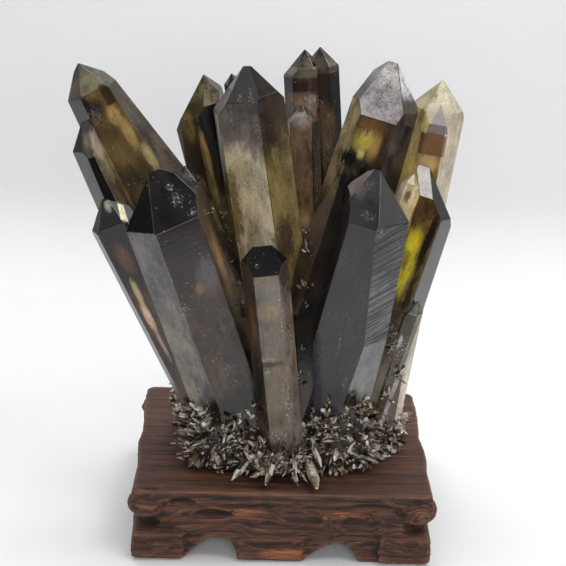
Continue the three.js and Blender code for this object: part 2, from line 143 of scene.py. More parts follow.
class Look:
    """A material's node tree, in which every node is added by node()."""

    def __init__(self, name):
        self.material = bpy.data.materials.new(name)
        self.material.use_nodes = True
        self.tree = self.material.node_tree
        self.tree.nodes.clear()

    def node(self, kind, settings=None, inputs=(), output=0):
        """Adds a node of a kind, with its settings and its sockets' values or links."""
        made = self.tree.nodes.new(kind)
        for key, value in (settings or {}).items():
            if key == "stops":
                ramp = made.color_ramp
                while len(ramp.elements) < len(value):
                    ramp.elements.new(1)
                for element, (place, color) in zip(ramp.elements, value):
                    element.position = place
                    element.color = (*color, 1)
            else:
                setattr(made, key, value)
        pairs = inputs.items() if isinstance(inputs, dict) else enumerate(inputs)
        for key, value in pairs:
            if isinstance(value, Link):
                self.tree.links.new(value.socket, made.inputs[key])
            else:
                made.inputs[key].default_value = value
        return Link(self, made.outputs[output]) if made.outputs else None

    def object_place(self):
        return self.node("ShaderNodeTexCoord", output="Object")

    def attribute(self, name, output="Vector"):
        return self.node("ShaderNodeAttribute", {"attribute_name": name}, output=output)

    def vector(self, operation, *inputs, output=0):
        return self.node("ShaderNodeVectorMath", {"operation": operation}, inputs, output)

    def scaled(self, vector, share):
        """A vector or colour, plain or linked, with its three parts times a share."""
        return self.node("ShaderNodeVectorMath", {"operation": "SCALE"}, {0: vector, "Scale": share})

    def stretched(self, place, x, y, z):
        """A place with its three parts times numbers, which makes a pattern on it wider or narrower."""
        return self.vector("MULTIPLY", place, (x, y, z))

    def away(self, place, middle, radii):
        """A place counted from a middle, in radii."""
        return self.vector("DIVIDE", self.vector("SUBTRACT", place, middle), radii)

    def distance(self, place, middle, radii):
        return self.vector("LENGTH", self.away(place, middle, radii), output="Value")

    def parts(self, vector):
        """The three parts of a linked vector or colour."""
        node = self.node("ShaderNodeSeparateXYZ", inputs=[vector]).socket.node
        return [Link(self, output) for output in node.outputs]

    def noise(self, place, scale, detail=4, roughness=0.6, distortion=0.0):
        return self.node("ShaderNodeTexNoise", inputs={
            "Vector": place, "Scale": scale, "Detail": detail, "Roughness": roughness,
            "Distortion": distortion,
        })

    def mixed(self, share, first, second):
        """Two colours or links of colours, blended."""
        return self.node("ShaderNodeMix", {"data_type": "RGBA"}, {
            0: share,
            6: first if isinstance(first, Link) else (*first, 1),
            7: second if isinstance(second, Link) else (*second, 1),
        }, output=2)

    def step(self, value, low, high):
        """0 below low, 1 above high, and smooth between them."""
        return self.node("ShaderNodeMapRange", {"interpolation_type": "SMOOTHSTEP"}, [value, low, high])

    def bump(self, strength, distance, height):
        return self.node("ShaderNodeBump", inputs={
            "Strength": strength, "Distance": distance, "Height": height,
        })

    def finish(self, surface, volume=None):
        shaders = {"Surface": surface, "Volume": volume} if volume else {"Surface": surface}
        self.node("ShaderNodeOutputMaterial", inputs=shaders)
        return self.material


def quartz(name, seen, depth=25, mottle=0.7, spots=(), windows=(), scuffs=(), specks=0.0, seed=0.0):
    """Smoky quartz. seen is the tone of white light after depth millimetres of it. Each face's own tones
    lie over the clear body as a cloudy layer, mottled by mottle; they are partly the quartz's own smoke and
    partly painted light: painted reflections, painted shade and painted light through the crystal. Tones
    are as they look in daylight, from 0 to 255. Places and radii are in the crystal's own millimetres, to
    its right, toward the viewer and down from its tip. spots are clouds and patches of painted light and
    shade, (place, radii, tone, cover). windows are straight-edged patches, (place, radii, taper, tone,
    cover), narrower toward the tip by taper. scuffs are clusters of tiny bright breaks, (place, radii,
    strength), and specks is the strength of flecks all over."""
    look = Look(name)
    own = look.attribute("grown")
    place = look.vector("ADD", own, (seed, seed, seed))
    right, forward, down = look.parts(own)
    clouds = look.noise(look.stretched(place, 1, 1, 0.6), CLOUDS_PER_MM, 7, 0.66)
    wisps = look.noise(look.stretched(place, 1, 1, 0.3), WISPS_PER_MM, 5, 0.68, 0.8)
    grain = look.noise(place, GRAINS_PER_MM, 5, 0.7)

    # The face's tone near the tip and near the foot, with a cloudy change between them
    upper, upper_cover = look.attribute("upper", "Color"), look.attribute("upper", "Alpha")
    lower, lower_cover = look.attribute("lower", "Color"), look.attribute("lower", "Alpha")
    start, end, roughness = look.parts(look.attribute("change", "Color"))
    patches = look.step(clouds, 0.34, 0.66)
    blend = look.step(down + (clouds - 0.5) * 24 + (wisps - 0.5) * 8, start, end)
    color = look.mixed(blend, upper, lower)
    cover = upper_cover * (1 - blend) + lower_cover * blend

    # Striations that slope across the face, and pits where the face is frosted
    stripes = look.attribute("change", "Alpha")
    slope = down + (right - forward) * 0.26
    ledge_place = look.node("ShaderNodeCombineXYZ", inputs=[right * 0.03, forward * 0.03, slope])
    ledges = look.step(look.noise(ledge_place, 1.0, 3), 0.4, 0.56)
    lines = (ledges * 1.6 - 1.0) * stripes * (wisps * 2.2 - 0.2)
    frost = look.step(roughness, 0.34, 0.4)
    pits = look.step(look.noise(place, 0.9, 4, 0.7), 0.56, 0.66) * frost

    # Lighter and darker, clearer and cloudier
    shade = (patches - 0.5) * (1.5 * mottle) + (wisps - 0.5) * (3.2 * mottle) + 1.0
    shade = shade + (grain - 0.5) * (roughness * 2.5 + 1.5) + frost * 0.12 - pits * 0.7
    color = look.scaled(color, (shade + lines * 0.9).math("MAXIMUM", 0.06))
    cover = cover - ((0.5 - patches) * (0.5 * mottle) + (wisps - 0.5) * mottle) * cover * (1 - cover) * 3

    # What lies inside: clouds, straight-edged patches, breaks and flecks
    calm = shade * 0.6 + 0.36
    edge = (clouds - 0.5) * 1.6 + (wisps - 0.5) * 1.8 + (grain - 0.5) * 0.8
    for middle, radii, spot_tone, spot_cover in spots:
        mask = 1 - look.step(look.distance(own, middle, radii) + edge, 0.4, 1.25)
        spot_color = look.scaled(tone(*spot_tone), calm.math("MAXIMUM", 0.25))
        color = look.mixed(mask, color, spot_color)
        cover = cover * (1 - mask) + mask * spot_cover
    for middle, radii, taper, window_tone, window_cover in windows:
        away = look.away(own, middle, radii)
        away_right, away_forward, away_down = look.parts(look.vector("ABSOLUTE", away))
        narrowed = away_right + (1 - look.parts(away)[2]) * (taper / 2)
        reach = narrowed.math("MAXIMUM", away_forward).math("MAXIMUM", away_down) + (wisps - 0.5) * 0.2
        mask = 1 - look.step(reach, 0.9, 1.0)
        color = look.mixed(mask, color, look.scaled(tone(*window_tone), calm))
        cover = cover * (1 - mask) + mask * window_cover
    sparks = look.step(look.noise(look.stretched(place, 1, 1, 0.7), 1.5, 2, 0.7, 1.5), 0.56, 0.66)
    for middle, radii, strength in scuffs:
        mask = (1 - look.step(look.distance(own, middle, radii) + edge, 0.3, 1.0)) * sparks * strength
        color = look.mixed(mask, color, tone(*FROST))
        cover = cover * (1 - mask) + mask
    if specks:
        cells = look.node("ShaderNodeTexVoronoi", inputs={"Vector": place, "Scale": 0.5})
        swarms = look.step(look.noise(place, 0.09, 2), 0.5, 0.6)
        flecks = (1 - look.step(cells, 0.06, 0.14)) * swarms * specks
        color = look.mixed(flecks, color, tone(*CREAM))
        cover = cover + flecks

    steps = look.noise(look.stretched(place, 0.08, 0.08, 1), 0.5, 3)
    relief = steps * 0.2 + grain * roughness * 4 + lines * 0.8 - pits * 2
    bump = look.bump(0.5, 0.16 * MM, relief)
    clear = look.node("ShaderNodeBsdfPrincipled", inputs={
        "Base Color": (1, 1, 1, 1), "Roughness": roughness, "IOR": QUARTZ_IOR,
        "Transmission Weight": 1.0, "Normal": bump,
    })
    # The face's tone as a cloudy layer: partly the quartz's own smoke, partly painted reflections, painted
    # shade and painted light through the crystal.
    veil_and_painted_light = look.node("ShaderNodeBsdfPrincipled", inputs={
        "Base Color": color, "Roughness": roughness + 0.06, "IOR": QUARTZ_IOR, "Normal": bump,
    })
    surface = look.node("ShaderNodeMixShader", inputs=[cover.kept(), clear, veil_and_painted_light])
    loss = [-math.log(max(part, 0.002)) / (depth * MM) for part in tone(*seen)]
    density = max(loss)
    smoke = look.node("ShaderNodeVolumeAbsorption", inputs={
        "Color": (*[1 - value / density for value in loss], 1), "Density": density,
    })
    return look.finish(surface, smoke)


def skin(upper, cover, lower=None, lower_cover=None, change=(20, 60), rough=0.04, stripes=0.0):
    """A face's tone, from 0 to 255, and its cloudiness, near the tip and near the foot, where they change,
    in millimetres from the tip, how rough the face is, and how strongly it is striped across. The tone is
    partly the face's own smoke and partly painted light: the reflections, shade and light through the
    crystal that this face shows."""
    return {
        "upper": (*tone(*upper), cover),
        "lower": (*tone(*(lower or upper)), cover if lower_cover is None else lower_cover),
        "change": (*change, rough, stripes),
    }


# Painted shade: a dark line painted along the bevelled edges of most crystals.
DARK_EDGE = skin((34, 29, 23), 0.75)


def grow_crystal(
    name, look, tip, foot, turn, half, prism, tips, off=(0, 0), late=(0,) * 6, flare=(0,) * 6, cuts=(),
    edges=DARK_EDGE,
):
    """A crystal. tip and foot end the line that its point sits on, turn is the first prism face's direction
    in degrees, from the crystal's right toward the viewer, and half holds half of the three thicknesses.
    prism and tips are the skins of the six prism faces and six tip faces, with None for the rest. off moves
    the prism to the side of the tip's line, late says how far each tip face starts past the point, and
    flare how much further out each prism face lies at the foot than at the shoulder. cuts are further flat
    faces: (direction, reach, place down from the tip, slant, skin). edges is the skin of the bevelled
    edges;
    the dark and pale ones are a painted shade line and a painted highlight line along them."""
    point = at(*tip)
    end = at(*foot)
    axis = (point - end).normalized()
    side = Vector((0, 1, 0)).cross(axis).normalized()
    front = side.cross(axis)
    length = (point - end).length
    drop = math.tan(TIP_FACE_ANGLE) * max(half) * MM
    summit = point + (side * off[0] + front * off[1]) * MM

    def across(degrees):
        return side * math.cos(math.radians(degrees)) + front * math.sin(math.radians(degrees))

    facets = [(end, -axis, prism[None])]
    for face in range(6):
        outward = across(turn + 60 * face)
        slope = flare[face] * MM / (length - drop)
        shoulder = summit - axis * drop + outward * half[face % 3] * MM
        facets.append((shoulder, outward + axis * slope, prism.get(face, prism[None])))
        facets.append((
            point + axis * late[face] * MM,
            outward * math.sin(TIP_FACE_ANGLE) + axis * math.cos(TIP_FACE_ANGLE),
            tips.get(face, tips[None]),
        ))
    for direction, reach, down, slant, cut_skin in cuts:
        outward = across(direction)
        place = summit - axis * down * MM + outward * reach * MM
        facets.append((place, outward + axis * slant, cut_skin))
    bpy.ops.object.select_all(action="DESELECT")
    bpy.ops.mesh.primitive_cube_add(size=4 * length, location=point)
    crystal = bpy.context.object
    crystal.name = name
    bpy.ops.object.transform_apply(location=True, rotation=True, scale=True)
    bpy.ops.object.mode_set(mode="EDIT")
    for place, normal, _ in facets:
        bpy.ops.mesh.select_all(action="SELECT")
        bpy.ops.mesh.bisect(
            plane_co=place, plane_no=normal, use_fill=True, clear_outer=True, threshold=1e-7
        )
    bpy.ops.object.mode_set(mode="OBJECT")
    bevel = crystal.modifiers.new("edges", "BEVEL")
    bevel.width = EDGE_ROUND
    bevel.segments = 1
    bevel.limit_method = "ANGLE"
    bevel.angle_limit = SHARPEST_BEND
    bpy.ops.object.modifier_apply(modifier="edges")
    mesh = crystal.data
    grown = mesh.attributes.new("grown", "FLOAT_VECTOR", "POINT")
    for vertex, own in zip(mesh.vertices, grown.data):
        away = (vertex.co - point) / MM
        own.vector = (away.dot(side), away.dot(front), -away.dot(axis))
    upper = mesh.attributes.new("upper", "FLOAT_COLOR", "FACE")
    lower = mesh.attributes.new("lower", "FLOAT_COLOR", "FACE")
    change = mesh.attributes.new("change", "FLOAT_COLOR", "FACE")
    for polygon in mesh.polygons:
        _, normal, face_skin = max(facets, key=lambda facet: facet[1].normalized().dot(polygon.normal))
        if normal.normalized().dot(polygon.normal) <= SAME_FACE:
            face_skin = edges
        upper.data[polygon.index].color = face_skin["upper"]
        lower.data[polygon.index].color = face_skin["lower"]
        change.data[polygon.index].color = face_skin["change"]
    mesh.materials.append(look)
    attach(crystal, "root")
    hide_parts("quartz_cluster")


grow_crystal(
    "crystal_far_left",
    quartz("honey_far_left", (118, 92, 46), specks=0.5, spots=[
        ((-1, 13, 46), (5, 6, 10), (118, 102, 62), 0.5),
        ((4, 11, 27), (3.6, 6, 6), (176, 140, 88), 0.85),
        ((6, 12, 38), (3.2, 6, 10), (164, 138, 86), 0.85),
        ((8.6, 12, 53), (2.2, 5, 10), (178, 162, 112), 0.85),
        ((-4, 14, 57), (6, 6, 8), (50, 41, 32), 0.9),
        ((-9, 9, 20), (12, 12, 9), (24, 20, 17), 0.97),
        ((-1.5, 8, 11), (3, 5, 3.5), (60, 44, 30), 0.8),
    ], windows=[((6.2, 10.3, 17), (2.4, 4, 5.5), 0, (50, 36, 22), 0.95)],
        scuffs=[((-4, 11, 24), (4, 5, 6), 0.8), ((8, 12, 60), (3, 5, 6), 0.7)]),
    tip=[-101.8, 8, 228.2], foot=[-28.9, 5.5, 105], turn=24, half=[12.5, 9.8, 9.8], off=[-1.4, 1.2],
    late=[0.4, 0.6, 1.2, 3.7, 0, 0], flare=[8.2, 10, 12.3, 12.6, 5, 18.7],
    prism={
        RIGHT: skin((72, 66, 60), 0.85, (74, 67, 62), 0.88, (30, 70), 0.15),
        FRONT: skin((96, 74, 42), 0.5, (74, 60, 42), 0.6, (25, 75)),
        LEFT: skin(INK, 0.97, (168, 148, 112), 0.8, (28, 36), 0.33),
        None: skin(UMBER, 0.6),
    },
    tips={
        RIGHT: skin((66, 66, 52), 0.6),
        FRONT: skin((92, 90, 62), 0.6),
        LEFT: skin((40, 34, 20), 0.75, rough=0.15),
        None: skin(UMBER, 0.5),
    },
)
grow_crystal(
    "crystal_left_front",
    quartz("honey_left_front", (118, 94, 58), seed=31.0, spots=[
        ((2.3, 5.6, 12), (3, 5, 7), (196, 172, 156), 0.75),
        ((3, 3.8, 24), (3, 5, 8), (140, 130, 84), 0.7),
        ((3, 3.6, 36), (4, 5, 6), (84, 66, 44), 0.8),
        ((-1, 6, 8), (2, 4, 4), (120, 112, 84), 0.6),
    ]),
    tip=[-99.2, -2, 203], foot=[-41.8, -2, 84], turn=24, half=[6.9, 10.5, 6.3], off=[-3.3, 1.2],
    late=[3, 0, 0.8, 1, 0, 3], flare=[-0.6, 1.7, 8.4, 2.8, 1, 5.4],
    prism={
        RIGHT: skin((142, 128, 108), 0.8, (88, 78, 66), 0.85, (18, 40)),
        FRONT: skin((16, 14, 13), 0.97),
        LEFT: skin((18, 17, 17), 0.97, rough=0.1),
        None: skin(UMBER, 0.6),
    },
    tips={
        FRONT: skin((46, 38, 24), 0.85, rough=0.12), LEFT: skin((52, 44, 26), 0.9),
        None: skin(UMBER, 0.5),
    },
)

# The dark crystals of the left side: one stands low in front of the golden pair, and one fills the
# gap behind the front left crystal. Both are near black, with red-brown and cream light inside.
SMOKE = (56, 49, 42)
RED_BROWN = (92, 66, 50)

grow_crystal(
    "crystal_low_left",
    quartz("dark_low_left", (90, 66, 42), seed=57.0, spots=[
        ((-2.5, 10, 30), (4, 5, 9), (96, 58, 44), 0.9),
        ((-5, 9.6, 49), (1.7, 5, 9), (176, 154, 112), 0.95),
        ((-5.6, 9.5, 62), (1.9, 5, 9), (224, 188, 158), 0.95),
        ((-5.6, 9.5, 78), (1.1, 5, 10), (170, 142, 122), 0.9),
        ((0.2, 3.2, 5.5), (1.8, 4, 3.2), (170, 168, 150), 0.9),
    ], windows=[((5.4, 6.1, 11), (1.7, 4, 5.8), 0.4, CREAM, 0.97)]),
    tip=[-89, -12, 171], foot=[-32, -9.5, 52], turn=39, half=[12.5, 9.5, 10], off=[-2, 0.5],
    prism={
        RIGHT: skin(RED_BROWN, 0.7),
        FRONT: skin((14, 11, 9), 0.97, (62, 46, 30), 0.95, (38, 56)),
        LEFT: skin((12, 12, 10), 0.97, rough=0.25),
        None: skin(SMOKE, 0.7),
    },
    tips={
        RIGHT: skin((12, 11, 9), 0.97, rough=0.33), FRONT: skin((12, 11, 9), 0.97, rough=0.33),
        LEFT: skin((12, 11, 9), 0.97, rough=0.5), None: skin(SMOKE, 0.7),
    },
)
grow_crystal(
    "crystal_between_left",
    quartz("dark_between_left", (90, 66, 42), mottle=1.0, seed=83.0, specks=1.0,
           scuffs=[((1, 4, 6), (4, 4, 5), 0.8)]),
    tip=[-52, 8, 180], foot=[-8.5, -0.7, 49.5], turn=30, half=[6.5, 6, 6.5], flare=[3.6] * 6,
    prism={
        RIGHT: skin((78, 66, 48), 0.9, (118, 106, 72), 0.9, (18, 30)),
        FRONT: skin(SMOKE, 0.85, (120, 96, 56), 0.8, (28, 60)),
        None: skin((36, 31, 26), 0.85),
    },
    tips={None: skin((46, 41, 34), 0.9)},
)

# The three crystals of the front are the true morion: black caps, and prism faces of slate and smoke on
# which an even grey is painted, a painted reflection of the light. Their worn edges are dim and a little
# rough.
DIM_EDGE = skin((42, 40, 40), 0.95, rough=0.3)

grow_crystal(
    "crystal_front_left",
    quartz("morion_front_left", (70, 58, 50), mottle=0.6, seed=101.0, specks=0.7, spots=[
        ((12.2, 4.4, 51), (2.6, 7, 20), (150, 112, 68), 0.95),
        ((6, 16, 50), (6, 6, 10), (84, 76, 76), 0.95),
        ((0.5, 17.6, 55), (2.2, 4, 3), (112, 88, 60), 0.9),
        ((9, 12, 94), (4.5, 9, 26), (18, 15, 12), 0.97),
        ((2.6, 16.8, 81), (1.2, 4, 7), INK, 0.97),
        # Painted shade: the dark patches toward the foot, where the crust shades the crystal.
        ((5, 16, 99), (9, 7, 9), (40, 34, 29), 0.97),
        ((-2, 18, 122), (26, 16, 16), (14, 12, 10), 0.97),
    ], scuffs=[
        ((3.2, 9.2, 12.5), (4.5, 6, 5.5), 0.8), ((1.3, 6.2, 7), (2.5, 4, 3), 1.0),
        ((-9.4, 20.8, 62.5), (2.2, 5, 5), 1.0), ((8.4, 12.5, 19), (5, 4, 3), 0.8),
        ((-10, 20, 44), (1.2, 4, 6), 0.6), ((0, 18, 100), (6, 4, 5), 0.5),
        ((12, 4.6, 52), (1.6, 6, 20), 0.7),
    ]),
    tip=[-60.3, -28, 189.1], foot=[-14.3, -15, 52], turn=9.3, half=[17.4, 17.9, 19.1], off=[-5.2, 0.5],
    late=[2.6, -0.5, 8.2, 8.3, 2, 0], flare=[-0.7, 0.3, 0.3, -0.3, 0, 5],
    prism={
        RIGHT: skin((68, 56, 45), 0.95, (82, 67, 52), 0.95, (30, 70)),
        FRONT: skin((30, 21, 18), 0.97, (62, 49, 38), 0.97, (34, 66)),
        # Painted reflection: an even slate grey painted on this face, where it mirrors the light.
        LEFT: skin((88, 84, 84), 0.97, (106, 99, 89), 0.97, (40, 80), 0.08),
        None: skin(SMOKE, 0.9),
    },
    tips={
        RIGHT: skin((27, 26, 24), 0.97), FRONT: skin((25, 23, 23), 0.97),
        LEFT: skin((13, 13, 12), 0.97), None: skin(INK, 0.95),
    },
    edges=DIM_EDGE,
)
grow_crystal(
    "crystal_front_right",
    quartz("morion_front_right", (62, 56, 52), mottle=0.3, seed=127.0, specks=0.4, spots=[
        ((-8, 2, 10), (4, 6, 4.5), (84, 74, 68), 0.97),
        # Painted shade: the near-black patches toward the foot, where the crust shades the crystal.
        ((0, 12, 113), (12, 10, 6), (16, 14, 13), 0.97),
        ((13, 8, 122), (9, 9, 11), (16, 14, 13), 0.97),
        ((8.5, 6, 12), (2.6, 5, 5), (12, 12, 12), 0.97),
    ], scuffs=[
        ((-3, 13, 17.5), (5, 6, 2.4), 1.0), ((-5, 13, 86), (0.8, 4, 9), 0.8),
        ((-3.5, 3, 6), (3.5, 4, 4), 0.5), ((3, 18, 24), (3, 5, 4), 0.6), ((1, 14, 104), (1, 5, 6), 0.7),
    ]),
    tip=[39.4, -26, 190.9], foot=[22.9, -17, 53], turn=54.4, half=[14.8, 17.5, 14.5], off=[1.7, 0.8],
    late=[0.5, 0.3, 3.1, 6, 0, 0], flare=[3.8, -6.8, 7.8, 3, 0, 0.2],
    prism={
        # Painted reflection: a grey painted on this face, lighter toward its foot, where it mirrors the
        # light.
        RIGHT: skin((58, 58, 60), 0.97, (82, 81, 83), 0.97, (30, 60), 0.05, 1.0),
        FRONT: skin((37, 36, 42), 0.97, (42, 40, 46), 0.97, rough=0.08),
        LEFT: skin((36, 33, 32), 0.97, (41, 40, 41), 0.97, (60, 100)),
        None: skin(SMOKE, 0.9),
    },
    cuts=[
        (175, 17.25, 100, -0.17, skin((60, 60, 64), 0.95)),
        # Painted reflection: the flat grey facet at the foot.
        (53.3, 13.1, 105, -0.15, skin((106, 105, 105), 0.97, (112, 109, 107), 0.97, (95, 115), 0.08)),
    ],
    tips={
        RIGHT: skin((16, 14, 18), 0.97),
        FRONT: skin((46, 44, 49), 0.97, (16, 13, 19), 0.97, (8, 14)),
        LEFT: skin((96, 86, 80), 0.96, rough=0.42), None: skin(INK, 0.95),
    },
    edges=DIM_EDGE,
)
grow_crystal(
    "crystal_front_middle",
    quartz("morion_front_middle", (120, 104, 84), mottle=0.5, seed=149.0, specks=0.4, spots=[
        ((3, 9, 21), (6, 5, 8), (112, 106, 100), 0.95),
        ((1, 9, 30), (6, 5, 5), (134, 118, 92), 0.95),
        ((0, 9, 46), (6, 5, 10), (92, 82, 78), 0.95),
        ((0, 9, 57), (7, 5, 2.2), (48, 40, 34), 0.95),
        ((0, 9, 74), (5, 5, 9), (112, 100, 78), 0.95),
        ((-1, 9, 100), (10, 6, 8), (70, 58, 44), 0.95),
        ((-7.6, 4.5, 38), (1.6, 5, 16), (104, 78, 48), 0.95),
        ((-8, 4, 70), (4, 6, 20), (26, 22, 18), 0.95),
        ((10, 3, 38), (2.2, 6, 9), (116, 88, 58), 0.95),
        ((9.6, 3, 60), (1.8, 6, 8), (92, 70, 46), 0.95),
    ], scuffs=[
        ((6.5, 8.5, 36), (1.6, 6, 26), 1.0), ((5.5, 8.5, 78), (3, 6, 18), 0.8),
        ((-3, 5.8, 7.2), (1.6, 3, 1.6), 1.0), ((-1, 9, 54.5), (6, 5, 2), 1.0),
        ((-3, 9, 60.5), (2, 5, 3), 1.0), ((-2, 9, 96), (8, 5, 5), 0.7), ((9.4, 3.6, 48), (1.4, 5, 22), 0.8),
    ]),
    tip=[-14, -36, 156], foot=[0, -31, 42], turn=28, half=[9.5, 9, 9.5], off=[0.5, 0],
    late=[5, 0, 5, 5, 0, 5], flare=[-0.5] * 6,
    prism={
        RIGHT: skin((74, 64, 56), 0.95, (122, 110, 99), 0.95, (14, 36), 0.1),
        # Painted reflection: the beige-grey of the front face.
        FRONT: skin((94, 83, 71), 0.97, (94, 80, 63), 0.97),
        LEFT: skin((62, 52, 43), 0.95, (72, 58, 47), 0.95),
        None: skin(SMOKE, 0.85),
    },
    tips={None: skin((22, 21, 21), 0.97)},
    edges=DIM_EDGE,
)

# The tall middle crystal, the sliver beside its point and the crystal behind it: clear smoky quartz, grey
# under the dark caps and beige to olive further down, grown like the others. The tall one has a painted
# white highlight on its narrow left face.
grow_crystal(
    "crystal_tall_middle",
    quartz("smoky_tall_middle", (140, 124, 90), mottle=0.5, seed=173.0, specks=0.3, spots=[
        ((3.4, 13, 28), (4.5, 6, 5.5), (66, 52, 38), 0.9),
        ((10.5, 9, 30), (5, 6, 10), (52, 40, 27), 0.92),
        ((8, 10, 86), (7, 7, 13), (72, 58, 38), 0.92),
        ((-13, 8, 70), (4, 6, 24), (112, 94, 60), 0.9),
        # Painted highlight: a white stripe on the left face.
        ((-16.2, -2, 41), (3, 5, 14), (214, 210, 200), 0.95),
        ((-2, 11, 96), (12, 8, 9), (74, 64, 48), 0.9),
        ((0, 11, 18), (9, 7, 4), (66, 62, 60), 0.9),
    ], scuffs=[
        ((2, 10, 12), (1.4, 5, 5), 1.0), ((-3, 8, 13), (1.5, 5, 3), 0.9), ((3, 13, 27), (2.5, 4, 5), 0.7),
        ((-8, 8, 20), (1, 4, 6), 0.8),
    ]),
    tip=[-25, 2, 231], foot=[5, 0, 50], turn=48, half=[14, 12.5, 16], off=[0, -1],
    late=[4, 0, 0, 0, 0, 4],
    prism={
        RIGHT: skin((50, 40, 32), 0.9, (122, 104, 60), 0.88, (26, 46)),
        FRONT: skin((86, 78, 66), 0.9, (166, 152, 122), 0.88, (30, 46)),
        # Painted highlight: the narrow left face is white near the tip.
        LEFT: skin((212, 208, 196), 0.92, (118, 102, 70), 0.92, (42, 54)),
        None: skin(UMBER, 0.6),
    },
    tips={
        RIGHT: skin((42, 37, 33), 0.95), FRONT: skin((22, 18, 16), 0.97),
        LEFT: skin((38, 34, 24), 0.92, rough=0.1), None: skin(SMOKE, 0.8),
    },
)
grow_crystal(
    "crystal_sliver",
    quartz("smoky_sliver", (90, 74, 50), seed=191.0),
    tip=[-30.5, 16, 224], foot=[3, 8, 60], turn=33, half=[4, 4, 4], flare=[0.8] * 6,
    prism={None: skin((30, 26, 22), 0.92)},
    tips={None: skin((40, 36, 32), 0.92)},
)
grow_crystal(
    "crystal_behind_middle",
    quartz("smoky_behind_middle", (96, 74, 42), mottle=1.0, seed=211.0, specks=0.5, spots=[
        ((-7.2, 13, 36), (1.9, 6, 13), (176, 136, 84), 0.95),
        ((-7.9, 12.4, 54), (2.2, 6, 12), (130, 116, 72), 0.92),
        ((-12.5, 8, 22), (4, 5, 8), (138, 116, 66), 0.8),
    ]),
    tip=[-44, 24, 221], foot=[3, 9.5, 48], turn=13, half=[12.5, 12, 10], off=[-6, 0.5],
    prism={
        RIGHT: skin((22, 19, 14), 0.92, SMOKE, 0.85),
        FRONT: skin((16, 17, 17), 0.96, (66, 56, 38), 0.92, (36, 62)),
        LEFT: skin((46, 38, 30), 0.9, (66, 57, 44), 0.92, (30, 70)),
        None: skin(UMBER, 0.6),
    },
    tips={
        RIGHT: skin((24, 16, 10), 0.92), FRONT: skin((90, 80, 64), 0.9),
        LEFT: skin((98, 90, 62), 0.85, (50, 42, 24), 0.9, (6, 14)), None: skin(UMBER, 0.6),
    },
)

# The twin at the back and the smaller crystal grown against its front: red-brown quartz, with an
# olive-grey rim round the twin's points and a healed break across both below them.
grow_crystal(
    "crystal_twin_left",
    quartz("brown_twin_left", (96, 72, 50), mottle=0.9, seed=233.0, specks=0.9, spots=[
        ((-3, 7, 17), (10, 7, 3.4), (44, 32, 26), 0.95),
        ((-6, 6, 22.5), (7, 6, 2.8), (116, 90, 72), 0.92),
        ((3, 7, 17), (3, 6, 5), (60, 42, 32), 0.92),
    ], windows=[((-1, 6, 10.5), (12, 8, 2.6), 0, (92, 84, 70), 0.93)],
        scuffs=[((0, 7, 26.5), (12, 7, 3.6), 1.0), ((2, 7, 23), (6, 7, 3), 1.0)]),
    tip=[4.5, 32, 233], foot=[21, 18, 50], turn=31, half=[8.5, 7, 8], off=[-1.5, 0],
    flare=[0.4] * 6,
    prism={
        RIGHT: skin((72, 57, 47), 0.92),
        FRONT: skin((62, 47, 41), 0.92, (112, 92, 76), 0.9, (16, 26)),
        LEFT: skin((16, 13, 11), 0.95, (66, 44, 26), 0.92, (18, 26)),
        None: skin(SMOKE, 0.85),
    },
    tips={FRONT: skin((76, 68, 58), 0.9), None: skin((18, 16, 12), 0.92)},
)
grow_crystal(
    "crystal_twin_right",
    quartz("brown_twin_right", (92, 70, 50), mottle=0.9, seed=251.0, specks=0.9, spots=[
        ((-2, 8, 16), (8, 6, 5), (42, 32, 26), 0.95),
        ((1, 8, 38), (6, 6, 10), (100, 78, 58), 0.92),
    ], windows=[((0, 7, 9), (12, 8, 3.6), 0, (74, 66, 56), 0.93)],
        scuffs=[((-3, 8, 27), (5, 6, 3), 0.9), ((2, 8, 52), (5, 6, 12), 0.5)]),
    tip=[12, 34, 234], foot=[28.5, 20, 50], turn=32, half=[6, 7.5, 6.5], off=[1.5, 0],
    flare=[0.4] * 6,
    prism={
        RIGHT: skin((16, 12, 10), 0.95, (48, 34, 22), 0.92, (30, 50)),
        FRONT: skin((34, 24, 17), 0.94, (92, 76, 58), 0.92, (22, 44)),
        None: skin(SMOKE, 0.85),
    },
    tips={FRONT: skin((73, 64, 56), 0.9), None: skin((22, 20, 14), 0.92)},
)
grow_crystal(
    "crystal_before_twin",
    quartz("brown_before_twin", (120, 90, 56), mottle=0.8, seed=269.0, specks=0.6, spots=[
        ((-1.4, 4.5, 7.5), (6, 5, 5), (138, 126, 114), 0.95),
        ((-3, 4, 25), (4, 4, 12), (128, 104, 84), 0.92),
        ((0, 4.3, 60), (5, 5, 9), (208, 168, 124), 0.95),
    ], scuffs=[((-1, 4.5, 6), (6, 5, 5), 0.8), ((1, 4.3, 62), (4, 4, 6), 0.8)]),
    tip=[4, 20, 209], foot=[13, 8, 54], turn=41, half=[6.5, 4.5, 7.5], off=[0.5, 0],
    prism={
        RIGHT: skin((57, 46, 37), 0.94, (74, 64, 56), 0.94),
        FRONT: skin((114, 93, 70), 0.9, (112, 86, 58), 0.9, (20, 40)),
        None: skin(RED_BROWN, 0.85),
    },
    tips={
        RIGHT: skin((44, 34, 18), 0.94, rough=0.3), LEFT: skin((72, 40, 18), 0.94, rough=0.3),
        None: skin((24, 16, 12), 0.94, rough=0.3),
    },
)

# The two crystals at the upper right: the nearer one has a frosted point over clear golden quartz, and the
# far one is nearly colourless, cream and ivory, with a brown window and a painted pale highlight line
# along its edges.
IVORY = (196, 186, 162)
# Painted highlight: a pale line painted along the bevelled edges.
PALE_EDGE = skin((176, 162, 130), 0.8)

